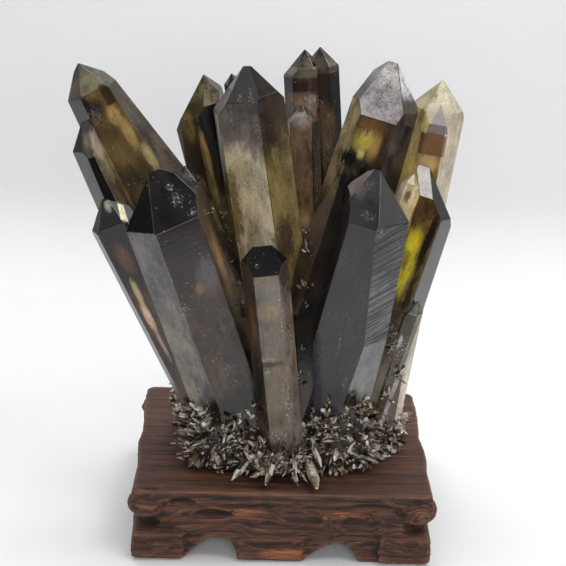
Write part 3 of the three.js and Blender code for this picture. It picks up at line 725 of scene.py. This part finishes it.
grow_crystal(
    "crystal_frosted",
    quartz("golden_frosted", (122, 100, 46), mottle=0.8, seed=293.0, specks=0.3, spots=[
        ((-4, 21, 31), (9, 6, 4), (92, 62, 32), 0.95),
        ((-4, 21, 38.5), (6, 7, 7.5), (160, 146, 66), 0.95),
        ((1, 21, 40), (3.6, 6, 7), (150, 112, 66), 0.95),
        ((-5, 21, 45), (2.4, 6, 3), (176, 168, 96), 0.95),
        ((4.6, 21, 44), (2.2, 7, 16), (54, 40, 26), 0.95),
        ((-9, 21, 48.5), (6, 6, 5), (14, 12, 10), 0.97),
        ((-1, 21, 60), (15, 10, 10), (15, 13, 10), 0.97),
    ]),
    tip=[46.5, 12, 234.9], foot=[-0.6, -2, 60], turn=33.5, half=[12.1, 13.6, 16.3], off=[1.7, 7.2],
    late=[0.6, -0.7, 1.3, 0, -3.3, 0], flare=[4.2, 4.9, 1.4, 3.6, 0, 9.8],
    prism={
        RIGHT: skin((50, 45, 50), 0.97, (70, 62, 60), 0.96, (60, 120)),
        FRONT: skin((62, 50, 38), 0.92, (28, 22, 14), 0.96, (50, 70)),
        LEFT: skin((119, 105, 78), 0.92, (60, 46, 30), 0.92, (52, 74)),
        None: skin(SMOKE, 0.8),
    },
    tips={
        RIGHT: skin((196, 195, 198), 0.97, (60, 54, 46), 0.95, (13, 17), 0.3),
        FRONT: skin((142, 136, 134), 0.96, (112, 106, 106), 0.96, (6, 18), 0.5),
        LEFT: skin((99, 97, 104), 0.95, (44, 42, 38), 0.95, (8, 16), 0.4),
        None: skin((80, 78, 78), 0.9, rough=0.4),
    },
)
grow_crystal(
    "crystal_far_right",
    quartz("pale_far_right", (226, 216, 188), mottle=0.4, specks=0.2, seed=311.0, spots=[
        ((-1, 15.4, 39), (7, 6, 6), (190, 156, 100), 0.92),
        ((-4, 6, 10), (2.5, 4, 5), (120, 104, 62), 0.8),
        ((-8, 9, 18), (2.2, 5, 4), (128, 100, 66), 0.8),
    ], windows=[
        ((-0.8, 15.4, 30), (6.8, 6, 5.4), 0, (116, 82, 50), 0.93),
        ((0, 13, 17.8), (6, 6, 6.8), 0.95, (126, 114, 114), 0.93),
    ]),
    tip=[71.5, 22, 222.7], foot=[45.4, 2, 52], turn=31.6, half=[10.4, 15.7, 12.5], off=[0.9, 0.1],
    flare=[4.2, -3.2, 8.3, -1.9, 1, -4.7],
    prism={
        RIGHT: skin((206, 190, 164), 0.8),
        FRONT: skin((112, 88, 42), 0.9, (96, 84, 68), 0.9, (70, 110)),
        LEFT: skin((208, 184, 118), 0.85, (220, 182, 96), 0.85, (26, 46)),
        None: skin(IVORY, 0.6),
    },
    tips={
        RIGHT: skin((196, 190, 156), 0.75, rough=0.15),
        FRONT: skin((188, 178, 150), 0.85, (150, 136, 108), 0.9, (9, 18), 0.15),
        LEFT: skin((146, 134, 102), 0.85),
        None: skin(IVORY, 0.6),
    },
    edges=PALE_EDGE,
)

# The yellow crystal at the right, with the small pale one grown against its left edge: clear yellow quartz
# with a white window at the point, lemon light inside, and flat dark grey on its right.
grow_crystal(
    "crystal_yellow",
    quartz("lemon_crystal", (150, 134, 30), mottle=0.6, seed=331.0, specks=0.3, spots=[
        ((2, 10, 19), (8, 6, 7), (76, 52, 28), 0.95),
        ((3, 11, 35), (4.5, 7, 9), (206, 186, 44), 0.95),
        ((4.3, 11.7, 50), (4.2, 7, 13), (196, 180, 52), 0.95),
        ((1.6, 11, 43), (2.4, 6, 5), (150, 134, 46), 0.9),
        ((9.4, 11, 32), (2.4, 6, 18), (22, 17, 12), 0.97),
        ((9.8, 12, 60), (2, 6, 18), (40, 30, 16), 0.95),
        ((8, 12, 80), (9, 9, 12), (66, 54, 38), 0.95),
    ], scuffs=[((8, 12, 82), (5, 6, 9), 0.7)]),
    tip=[65.4, 0, 184.7], foot=[25.6, -6.5, 54], turn=33.1, half=[10.2, 10.7, 12.3], off=[6.9, -0.6],
    late=[0, 0, 14, 14, 0, 0], flare=[6, 6.7, -2.8, -1, -1, 5.3],
    prism={
        RIGHT: skin((18, 18, 16), 0.96, (36, 32, 26), 0.96, (50, 75), 0.1),
        FRONT: skin((92, 68, 35), 0.92, (83, 71, 46), 0.92, (30, 60)),
        LEFT: skin((202, 182, 134), 0.9, (234, 208, 150), 0.9, (12, 20)),
        None: skin(UMBER, 0.7),
    },
    tips={
        RIGHT: skin((12, 11, 9), 0.96, rough=0.15), FRONT: skin((110, 98, 84), 0.97),
        LEFT: skin(CREAM, 0.8), None: skin(UMBER, 0.7),
    },
)
grow_crystal(
    "crystal_beside_yellow",
    quartz("pale_beside_yellow", (200, 184, 140), mottle=0.5, seed=353.0, spots=[
        ((-0.4, 4.2, 11), (1.9, 4, 4), (112, 74, 46), 0.95),
    ]),
    tip=[57.5, -6, 184], foot=[43, -8, 130], turn=41, half=[4, 4, 4], flare=[0.4] * 6,
    prism={
        RIGHT: skin((206, 192, 160), 0.92), FRONT: skin((196, 184, 136), 0.92),
        None: skin((240, 226, 190), 0.92),
    },
    tips={None: skin((158, 144, 104), 0.9)},
    edges=PALE_EDGE,
)

# The low pale crystal at the right foot: grey-green quartz, almost clear, that leans out of the crust
# against the yellow crystal.
grow_crystal(
    "crystal_low_right",
    quartz("pale_low_right", (170, 168, 148), mottle=0.9, seed=373.0, specks=0.8, spots=[
        ((-3, 4.2, 21), (0.9, 4, 3.6), (196, 188, 172), 0.9),
    ], scuffs=[((-1, 4, 24), (5, 4, 8), 1.0), ((2, 4, 60), (5, 4, 6), 0.8)]),
    tip=[63, -14, 122], foot=[44, -15, 48], turn=42, half=[5, 4.5, 4.5], off=[-1.5, 0],
    prism={
        RIGHT: skin((94, 87, 68), 0.85, (134, 124, 104), 0.85, (35, 52)),
        FRONT: skin((58, 50, 34), 0.88, (78, 68, 50), 0.9, (20, 44)),
        None: skin((80, 72, 60), 0.8),
    },
    tips={None: skin((94, 96, 90), 0.85)},
)

# The rock that everything grows from: a dark lumpy foot of grown-together quartz, flat where it lies on
# the stand, rising to a core between the large crystals' feet and to humps that hold the thick ones.
STAND_TOP = stand_high.z
REST_GAP = 0.3 * MM
ROCKS = {
    "rock_mound": ((1, -1, 5), (44, 38, 21)),
    "rock_core": ((-5, 1, 0), (31, 26, 50)),
    "rock_left": ((-29, -20, 9), (19, 19, 33)),
    "rock_right": ((29, -18, 9), (18, 18, 31)),
    "rock_front": ((-4, -28, 6), (23, 20, 9)),
    "rock_far_right": ((46, 0, 6), (14, 15, 20)),
    "rock_behind_left": ((-34, 9, 20), (18, 14, 51)),
}
LUMP_SIZE = 7 * MM
LUMP_HEIGHT = 2.6 * MM
LUMP_SHARE_INWARD = 0.8


def dark_rock():
    """Nearly black rock with brown grains, as glossy as broken quartz."""
    look = Look("rock")
    grain = look.noise(look.object_place(), 900, 5)
    return look.finish(look.node("ShaderNodeBsdfPrincipled", inputs={
        "Base Color": look.mixed(grain, tone(14, 12, 11), tone(44, 37, 30)), "Roughness": 0.25,
        "IOR": QUARTZ_IOR, "Normal": look.bump(0.8, 0.5 * MM, grain),
    }))


rock_material = dark_rock()
lump_texture = bpy.data.textures.new("lumps", "CLOUDS")
lump_texture.noise_scale = LUMP_SIZE
for name, (middle, radii) in ROCKS.items():
    bpy.ops.object.select_all(action="DESELECT")
    bpy.ops.mesh.primitive_ico_sphere_add(subdivisions=5, radius=MM, location=at(*middle))
    rock = bpy.context.object
    rock.name = name
    rock.location.z += STAND_TOP
    rock.scale = radii
    bpy.ops.object.transform_apply(location=True, rotation=True, scale=True)
    lumps = rock.modifiers.new("lumps", "DISPLACE")
    lumps.texture = lump_texture
    lumps.texture_coords = "LOCAL"
    lumps.strength = LUMP_HEIGHT
    lumps.mid_level = LUMP_SHARE_INWARD
    bpy.ops.object.modifier_apply(modifier="lumps")
    bpy.ops.object.mode_set(mode="EDIT")
    bpy.ops.mesh.select_all(action="SELECT")
    bpy.ops.mesh.bisect(
        plane_co=(0, 0, STAND_TOP + REST_GAP), plane_no=(0, 0, -1), use_fill=True, clear_outer=True
    )
    bpy.ops.object.mode_set(mode="OBJECT")
    rock.data.materials.append(rock_material)
    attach(rock, "root")
    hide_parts("quartz_cluster")

# The crust: thousands of small quartz crystals that bristle from the rock all round the large ones, in
# sprays that lean the same way. Each is a copy of one of three: a blunt one with a needle on its end, a
# chisel-shaped one and a broken one. Each of its faces has its own painted lightness, from its crystal's
# paleness and a random painted glint that stands for a facet catching the light, and its root is painted
# dark as painted shade between the crystals.
CRUST_SEED = 7
SQUARE_MM_PER_CRYSTAL = 2.4
SHORTEST_CRYSTAL = 3.4
LENGTH_RANGE = 7.0
ROOT_DEPTH = 1.2
SPRAY_SIZE = 5 * MM
CRUST_BOTTOM = STAND_TOP + 1.4 * MM
BLUNT, CHISEL, BROKEN = range(3)
crust_random = random.Random(CRUST_SEED)
seed_set(CRUST_SEED)


def small_crystal(name, top_scale, lean):
    """The points and faces of a crystal 1 unit long and 1 unit thick that stands on the origin, drawn in at
    its end to top_scale and moved to the side by lean. Points and edges stay selected here: the first call
    extrudes the prism whole, which puts a needle through a blunt prism, and later calls make a wall from
    every edge, six at the end and twelve inside. Blender leaves the order of these open, so they are
    sorted."""
    bpy.ops.object.select_all(action="DESELECT")
    bpy.ops.mesh.primitive_cylinder_add(vertices=6, radius=0.5, depth=0.72, location=(0, 0, 0.36))
    seed = bpy.context.object
    seed.name = name
    bpy.ops.object.transform_apply(location=True, rotation=True, scale=True)
    prism_points = len(seed.data.vertices)
    for polygon in seed.data.polygons:
        polygon.select = polygon.normal.z > 0.9
    bpy.ops.object.mode_set(mode="EDIT")
    bpy.ops.mesh.select_mode(type="FACE")
    bpy.ops.mesh.extrude_region_move(TRANSFORM_OT_translate={"value": (lean, 0, 0.28)})
    bpy.ops.transform.resize(value=(top_scale, top_scale * 0.4 + 0.02, 1))
    bpy.ops.object.mode_set(mode="OBJECT")
    points = np.array([vertex.co for vertex in seed.data.vertices])
    faces = [tuple(polygon.vertices) for polygon in seed.data.polygons]
    wall_places = [place for place, face in enumerate(faces) if min(face) < prism_points <= max(face)]
    for place, wall in zip(wall_places, sorted(faces[place] for place in wall_places)):
        faces[place] = wall
    bpy.data.objects.remove(seed)
    return points, faces


SMALL_CRYSTALS = [
    small_crystal("blunt_point", 0.05, 0.03),
    small_crystal("chisel_point", 0.35, 0.1),
    small_crystal("broken_point", 0.6, -0.12),
]


def crust_quartz():
    """Clear to cloudy quartz, with painted shade at the root and a painted glint of its own on each face.
    """
    look = Look("crust_points")
    height = look.attribute("height", "Fac")
    facet_glint = look.attribute("facet", "Fac")
    grain = look.noise(look.object_place(), 700, 4)
    # Painted glints: a face's colour from its crystal's paleness and a random glint, up to white.
    paleness_and_glint_color = look.node("ShaderNodeValToRGB", {"stops": (
        (0.0, tone(18, 14, 11)), (0.28, tone(72, 58, 43)), (0.5, tone(136, 116, 92)),
        (0.74, tone(206, 190, 166)), (1.0, tone(255, 252, 246)),
    )}, [facet_glint + (grain - 0.5) * 0.4])
    # Painted shade: the crystals darken toward their roots, among the others.
    root_shade = 1 - look.step(height + (grain - 0.5) * 0.6, 0.1, 0.6)
    color = look.mixed(root_shade, paleness_and_glint_color, tone(17, 14, 12))
    bump = look.bump(0.4, 0.15 * MM, grain)
    clear = look.node("ShaderNodeBsdfPrincipled", inputs={
        "Base Color": look.mixed(0.5, color, (1, 1, 1)), "Roughness": 0.05, "IOR": QUARTZ_IOR,
        "Transmission Weight": 1.0, "Normal": bump,
    })
    cloudy = look.node("ShaderNodeBsdfPrincipled", inputs={
        "Base Color": color, "Roughness": 0.09, "IOR": QUARTZ_IOR, "Normal": bump,
    })
    cover = (root_shade * 0.4 + 0.62 + (grain - 0.5) * 0.8).kept()
    return look.finish(look.node("ShaderNodeMixShader", inputs=[cover, clear, cloudy]))


crust_material = crust_quartz()
crust_points, crust_faces, crust_heights, crust_paleness_and_glints = [], [], [], []


def place_crystal(root, tip, thickness, kind, paleness):
    """Adds a small crystal that grows from root to tip, in metres. paleness goes from 0 to 1."""
    points, faces = SMALL_CRYSTALS[kind]
    along = tip - root
    spin = crust_random.uniform(0, math.pi)
    turn = along.to_track_quat("Z", "Y").to_matrix() @ Matrix.Rotation(spin, 3, "Z")
    sized = points * [thickness, thickness * crust_random.uniform(0.55, 0.95), along.length]
    start = len(crust_heights)
    crust_points.append(sized @ np.array(turn).T + np.array(root))
    crust_heights.extend(points[:, 2])
    for face in faces:
        crust_faces.append([start + corner for corner in face])
        # A face's painted lightness: its crystal's paleness and a random painted glint.
        crust_paleness_and_glints.append(min(max(paleness * 0.7 + crust_random.uniform(-0.34, 0.6), 0), 1))


def finish_crust(name):
    """Makes one piece of the small crystals placed so far."""
    mesh = bpy.data.meshes.new(name)
    mesh.from_pydata(np.concatenate(crust_points).tolist(), [], crust_faces)
    mesh.attributes.new("height", "FLOAT", "POINT").data.foreach_set("value", crust_heights)
    mesh.attributes.new("facet", "FLOAT", "FACE").data.foreach_set("value", crust_paleness_and_glints)
    mesh.materials.append(crust_material)
    piece = bpy.data.objects.new(name, mesh)
    bpy.context.scene.collection.objects.link(piece)
    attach(piece, "root")
    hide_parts("quartz_cluster")
    for values in (crust_points, crust_faces, crust_heights, crust_paleness_and_glints):
        values.clear()


def buried(place, own_rock):
    """Whether a place on one rock lies inside another."""
    for name, (middle, radii) in ROCKS.items():
        away = (place - at(*middle)) / MM
        away.z -= STAND_TOP / MM
        if name != own_rock and Vector(a / (r * 0.97) for a, r in zip(away, radii)).length < 1:
            return True
    return False


for name in ROCKS:
    rock = bpy.data.objects[name]
    for polygon in rock.data.polygons:
        crowd = polygon.area / MM ** 2 / SQUARE_MM_PER_CRYSTAL
        if polygon.normal.z < -0.35 or crust_random.random() > crowd or buried(polygon.center, name):
            continue
        size = crust_random.random() ** 2.8
        lean = noise_vector(polygon.center / SPRAY_SIZE)
        jitter = Vector([crust_random.gauss(0, 0.28) for _ in range(3)])
        way = (polygon.normal * 0.6 + lean * 1.2 + jitter + Vector((0, 0, 0.1))).normalized()
        reach = (SHORTEST_CRYSTAL + LENGTH_RANGE * size) * MM
        root = polygon.center - polygon.normal * ROOT_DEPTH * MM
        tip = root + way * reach
        tip.z = max(tip.z, CRUST_BOTTOM)
        root.z = max(root.z, CRUST_BOTTOM)
        kind = crust_random.choice((BLUNT, BLUNT, CHISEL, CHISEL, BROKEN))
        thickness = reach * crust_random.uniform(0.2, 0.36)
        place_crystal(root, tip, thickness, kind, crust_random.random() ** 1.2)
    finish_crust(name.replace("rock", "crust"))

# Some stand out of the crust, pale and clear: tip, root and thickness
STANDOUT_CRYSTALS = [
    ((-25, -56, 44), (-14, -33, 48), 4.4),
    ((-8.5, -58, 43), (-4, -38, 50), 4.6),
    ((16, -59, 42.5), (11, -36, 48), 5.6),
    ((18, -50, 49), (13, -31, 54), 4.0),
    ((5.5, -55, 46), (5, -38, 50), 3.0),
    ((-30, -35, 58), (-17, -26, 54), 4.0),
    ((-25, -20, 70), (-13, -22, 56), 3.4),
    ((-13, -24, 72), (-12, -20, 54), 3.4),
    ((-17, -24, 70), (-11, -21, 54), 3.0),
    ((36.5, -40, 50), (28, -27, 52), 3.0),
    ((58.5, -17, 88), (50, -15, 79), 3.6),
    ((53, -24, 102), (46, -13, 96), 3.8),
    ((46.5, -34, 63), (36, -20, 52), 3.6),
]
for tip, root, thickness in STANDOUT_CRYSTALS:
    place_crystal(at(*root), at(*tip), thickness * MM, CHISEL, paleness=0.75)

# Pale sprays that fan out where the crust meets the large crystals, and small ones in the valleys between
# these, higher up: root, direction and length
SPRAYS = [
    ((-21, -28, 68), (0.1, -0.6, 0.8), 10), ((19, -28, 57), (0.3, -0.8, 0.5), 12),
    ((-44, -17, 51), (-0.6, -0.6, 0.4), 9), ((-33, -31, 46), (-0.4, -0.85, 0.2), 10),
    ((-8, -41, 47), (0, -0.9, 0.3), 9), ((41, -26, 53), (0.5, -0.7, 0.4), 10),
    ((51, -5, 57), (0.6, -0.4, 0.6), 9), ((4, -40, 49), (0.3, -0.8, 0.5), 8),
    ((-38.6, -20, 166), (0, -0.6, 0.8), 3.5), ((-32.3, 6.5, 155), (0, -0.7, 0.7), 4),
    ((-33.1, 6.4, 149), (0.2, -0.7, 0.7), 4), ((-30, 5.3, 143.5), (0.1, -0.7, 0.7), 3.5),
    ((-27.8, -1.7, 135), (0.1, -0.7, 0.7), 3), ((-24.5, -9.5, 126), (0.2, -0.7, 0.6), 4),
    ((8.3, -4.4, 153), (0.1, -0.7, 0.7), 3.5), ((9.4, -10.5, 144), (0, -0.5, 0.9), 6),
    ((8.9, -18, 129), (-0.1, -0.5, 0.9), 6), ((8.3, -19, 119), (-0.1, -0.5, 0.9), 5),
    ((7.2, -22, 98), (0, -0.6, 0.8), 4), ((6.8, -23, 84), (-0.1, -0.6, 0.8), 8),
    ((51, -18, 99), (0.2, -0.6, 0.7), 5), ((54, -19, 85), (0.3, -0.6, 0.7), 6),
    ((50, -19, 72), (0.1, -0.7, 0.7), 7), ((-21.6, -13, 116), (0, -0.6, 0.8), 6),
]
CRYSTALS_PER_MM = 1.7
for root, direction, length in SPRAYS:
    for _ in range(round(length * CRYSTALS_PER_MM)):
        spread = Vector([crust_random.gauss(0, 0.42) for _ in range(3)])
        way = (Vector(direction) + spread).normalized()
        reach = length * crust_random.uniform(0.5, 1.0)
        thickness = max(length * crust_random.uniform(0.13, 0.24), 0.9) * MM
        start = at(*root) + spread * length * 0.3 * MM
        place_crystal(start, start + way * reach * MM, thickness, CHISEL, crust_random.uniform(0.45, 1.0))
finish_crust("crust_sprays")

# The stand: low, carved from one piece of dark rosewood, with a thin plate, a recessed apron carved in
# flowing ribs, a knob under each corner, and feet joined by arches. It is waxed to a low sheen.
VOXEL = 0.9 * MM
CARVED_TO = 37.2
PLATE_BOTTOM = 31.5
PLATE_EDGE_CUT = 1.6
RIB_SPACING = 3.6
WIDE_RIB_SPACING = 8.3
bpy.ops.object.select_all(action="DESELECT")
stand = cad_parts["wood_stand"].copy()
stand.data = stand.data.copy()
stand.name = "carved_stand"
for key in list(stand.keys()):
    del stand[key]
stand.parent = None
bpy.context.scene.collection.objects.link(stand)
stand.data.materials.clear()
bpy.context.view_layer.objects.active = stand
stand.select_set(True)
bpy.ops.object.mode_set(mode="EDIT")
bpy.ops.mesh.select_all(action="SELECT")
bpy.ops.mesh.remove_doubles(threshold=1e-6)
bpy.ops.object.mode_set(mode="OBJECT")
remesh = stand.modifiers.new("voxels", "REMESH")
remesh.mode = "VOXEL"
remesh.voxel_size = VOXEL
bpy.ops.object.modifier_apply(modifier="voxels")
below_plate = stand.vertex_groups.new(name="below_plate")
for vertex in stand.data.vertices:
    share = (PLATE_BOTTOM + 1 - vertex.co.z / MM) / 3
    below_plate.add([vertex.index], min(max(share, 0.2), 1), "REPLACE")
soften = stand.modifiers.new("soften", "SMOOTH")
soften.factor = 0.6
soften.iterations = 7
soften.vertex_group = "below_plate"
bpy.ops.object.modifier_apply(modifier="soften")


def stand_values(name):
    """The places or normals of the stand's points, one row for each point."""
    values = np.zeros(len(stand.data.vertices) * 3)
    stand.data.vertices.foreach_get(name, values)
    return values.reshape(-1, 3)


# Carving: ribs that flow round hollows in the front, each (x, z, half width, half height, depth)
FRONT_HOLLOWS = [
    (-48.5, 32, 6, 2.4, 2.6), (-34, 24.5, 11, 4.4, 2.4), (-59, 17, 6, 5, 1.4), (-14, 30, 12, 2.0, 1.6),
    (12, 22, 12, 3.6, 1.6), (43.5, 32.4, 7, 1.7, 2.4), (38, 22, 9, 4.2, 1.9), (60, 27, 6, 4.5, 1.6),
    (-4, 10, 14, 3.4, 1.6), (64, 11, 5, 5, 1.5), (-68, 8, 5, 4, 1.3),
]
coordinates = stand_values("co")
normals = stand_values("normal")
x, y, z = ((coordinates - np.array(STAND_MIDDLE)) / MM).T
facing_front = np.clip(-normals[:, 1] * 1.4 - 0.2, 0, 1) * (y < -50)
sideways = np.clip(1 - np.abs(normals[:, 2]) * 1.2, 0, 1)
below = np.clip((CARVED_TO - z) / 1.5, 0, 1) * np.clip(z / 3, 0, 1)
plate_edge = np.clip((z - PLATE_BOTTOM + 1) / 1.5, 0, 1) * np.clip((np.abs(y) - 57) / 2, 0, 1)
plate_edge *= np.abs(x) < 66
around = np.where(np.abs(normals[:, 1]) > np.abs(normals[:, 0]), x, y)
flow = z + 2.6 * np.sin(around / 11 + 1.3) + 1.5 * np.sin(around / 5.3 + z / 4)
cut = 0.5 + 0.45 * np.sin(around / 8.5 + z / 7)
for place_x, place_z, width, tall, deep in FRONT_HOLLOWS:
    pit = np.exp(-((x - place_x) / width) ** 4 - ((z - place_z) / tall) ** 2)
    cut += deep * pit * facing_front
    flow += 5 * pit * facing_front
ribs = np.sin(flow * 2 * math.pi / RIB_SPACING) * 0.3
ribs += np.sin(flow * 2 * math.pi / WIDE_RIB_SPACING + 1) * 0.3
scallops = PLATE_EDGE_CUT + 0.4 * np.sin(x / 6.5) + 0.3 * np.sin(x / 2.9)
depth = (cut - ribs) * below * sideways + plate_edge * scallops
carved = coordinates.copy()
carved[:, :2] -= normals[:, :2] * depth[:, None] * MM
stand.data.vertices.foreach_set("co", carved.ravel())
stand.data.update()
for polygon in stand.data.polygons:
    polygon.use_smooth = True

# Paler where it stands out, as wear and as a painted highlight line, and darker where it lies back, as
# painted shade: how far each point stands over its neighbours
edge_ends = np.zeros(len(stand.data.edges) * 2, dtype=np.int32)
stand.data.edges.foreach_get("vertices", edge_ends)
neighbours = np.maximum(np.bincount(edge_ends, minlength=len(carved)), 1)
first_ends, second_ends = edge_ends.reshape(-1, 2).T


def neighbour_mean(values):
    total = np.zeros_like(values)
    np.add.at(total, first_ends, values[second_ends])
    np.add.at(total, second_ends, values[first_ends])
    return total / neighbours[:, None]


proud = ((carved - neighbour_mean(carved)) * stand_values("normal")).sum(axis=1, keepdims=True) / VOXEL
for _ in range(3):
    proud = neighbour_mean(proud)
wear = stand.data.attributes.new("wear", "FLOAT", "POINT")
wear.data.foreach_set("value", np.clip(proud[:, 0] * 6 + 0.5, 0, 1).astype(np.float32))


# Orange streaks on the carving, in the stand's own millimetres: place and radii
WOOD_STREAKS = [
    ((-18, -59, 26.5), (11, 9, 2.6)), ((30, -59, 25), (14, 9, 3.8)), ((2, -59, 5), (14, 9, 4.5)),
]


def rosewood():
    """Dark rosewood: thin layers that the carving lays bare as contours, with pores, purple-black veins, a
    few orange streaks, edges rubbed pale by handling with a painted highlight line along them, and painted
    shade in the hollows of the carving."""
    look = Look("rosewood")
    place = look.vector("SUBTRACT", look.scaled(look.object_place(), 1 / MM), tuple(STAND_MIDDLE / MM))
    standing_out = look.attribute("wear", "Fac")
    across, height = look.parts(place)[1:]
    warp = look.noise(look.stretched(place, 0.3, 1, 1), 0.05, 3)
    layers = (across * 4.4 + height * 1.2 + warp * 22).math("SINE") * 0.5 + 0.5
    grain = look.noise(look.stretched(place, 0.02, 0.55, 1), 0.75, 5, 0.72)
    fine = look.noise(look.stretched(place, 0.03, 0.6, 1), 2.4, 4, 0.7)
    pores = look.noise(look.stretched(place, 0.07, 0.7, 1), 3.2, 2, 0.5)
    patches = look.noise(look.stretched(place, 0.4, 1, 1), 0.05, 3)
    base = look.mixed(look.step(grain * 0.7 + fine * 0.3, 0.36, 0.66), tone(40, 23, 17), tone(116, 72, 50))
    base = look.scaled(base, layers * 1.0 + 0.45)
    veins = look.step(layers * 0.75 + grain * 0.5, 0.86, 1.0) * look.step(patches, 0.36, 0.6)
    base = look.mixed(veins * 0.75, base, tone(20, 14, 16))
    for middle, radii in WOOD_STREAKS:
        reach = look.distance(place, middle, radii) + (patches - 0.5) * 1.5
        streak = (1 - look.step(reach, 0.5, 1.1)) * look.step(fine * 0.5 + grain * 0.5, 0.42, 0.54)
        base = look.mixed(streak * 0.85, base, tone(166, 102, 60))
    # Pale on edges that stand out: wear, and a painted highlight line along them.
    base = look.mixed(look.step(standing_out, 0.6, 1.0) * 0.4, base, tone(132, 96, 76))
    # Painted shade: darker in the hollows of the carving.
    base = look.mixed((1 - look.step(standing_out, 0.1, 0.48)) * 0.75, base, tone(22, 14, 13))
    dents = look.step(pores, 0.6, 0.7)
    base = look.mixed(dents * 0.6, base, tone(24, 15, 13))
    relief = fine * 0.5 + layers * 0.5 - dents * 0.5
    bump = look.bump(0.7, 0.45 * MM, relief)
    return look.finish(look.node("ShaderNodeBsdfPrincipled", inputs={
        "Base Color": base, "Roughness": 0.56 + fine * 0.2, "IOR": 1.45, "Normal": bump,
    }))


stand.data.materials.append(rosewood())
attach(stand, "root")
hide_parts("wood_stand")

# The studio: floor and wall are one pale sheet of paper that curves up behind the object, clear when seen
# from its back, and five softboxes light it, the largest one from above. The paper is painted dark towards
# its far sides: painted shade that stands for the unlit surroundings, which the crystals' faces mirror.
FLOOR_FRONT = -480
FLOOR_BACK = 330
FLOOR_BEND = 60
BEND_STEPS = 8
WALL_TOP = 1200
HALF_WIDTH = 1500
profile = [(FLOOR_FRONT, 0), (FLOOR_BACK - FLOOR_BEND, 0)]
for step in range(1, BEND_STEPS + 1):
    turn = math.pi / 2 * step / BEND_STEPS
    profile.append((
        FLOOR_BACK - FLOOR_BEND + FLOOR_BEND * math.sin(turn), FLOOR_BEND - FLOOR_BEND * math.cos(turn)
    ))
profile.append((FLOOR_BACK, WALL_TOP))
vertices = [at(x, y, z) for x in (-HALF_WIDTH, HALF_WIDTH) for y, z in profile]
count = len(profile)
sheet_mesh = bpy.data.meshes.new("backdrop")
sheet_mesh.from_pydata(
    vertices, [], [(i, i + count, i + count + 1, i + 1) for i in range(count - 1)]
)
backdrop = bpy.data.objects.new("backdrop", sheet_mesh)
bpy.context.scene.collection.objects.link(backdrop)
for polygon in sheet_mesh.polygons:
    polygon.use_smooth = True
paper = Look("paper")
from_middle = paper.parts(paper.object_place())[0].math("ABSOLUTE")
# Painted shade: the paper turns dark toward its far left and right.
painted_dark_sides = paper.step(from_middle, 0.3, 0.75)
paper_front = paper.node("ShaderNodeBsdfPrincipled", inputs={
    "Base Color": paper.mixed(painted_dark_sides, (0.84, 0.84, 0.845), (0.16, 0.16, 0.17)), "Roughness": 0.8,
})
paper_back = paper.node("ShaderNodeBsdfTransparent")
seen_from_back = paper.node("ShaderNodeNewGeometry", output="Backfacing")
sheet_mesh.materials.append(paper.finish(
    paper.node("ShaderNodeMixShader", inputs=[seen_from_back, paper_front, paper_back])
))

studio = bpy.data.worlds.new("studio")
bpy.context.scene.world = studio
studio.use_nodes = True
room_light = studio.node_tree.nodes["Background"]
room_light.inputs["Color"].default_value = (0.9, 0.93, 1.0, 1)
room_light.inputs["Strength"].default_value = 0.1


def softbox(name, place, aim, width, height, power):
    bpy.ops.object.light_add(type="AREA", location=at(*place))
    lamp = bpy.context.object
    lamp.name = name
    lamp.data.shape = "RECTANGLE"
    lamp.data.size = width * MM
    lamp.data.size_y = height * MM
    lamp.data.energy = power
    lamp.rotation_euler = (at(*place) - at(*aim)).to_track_quat("Z", "Y").to_euler()


softbox("overhead", (0, 200, 900), (0, 0, 100), 900, 600, 8)
softbox("key", (360, -370, 900), (0, 0, 150), 300, 300, 2.4)
softbox("left", (-620, -330, 780), (0, 0, 150), 600, 500, 0.8)
softbox("right", (780, -60, 470), (0, 0, 150), 400, 400, 0.6)
softbox("front", (0, -850, 430), (0, 0, 40), 800, 260, 3.5)
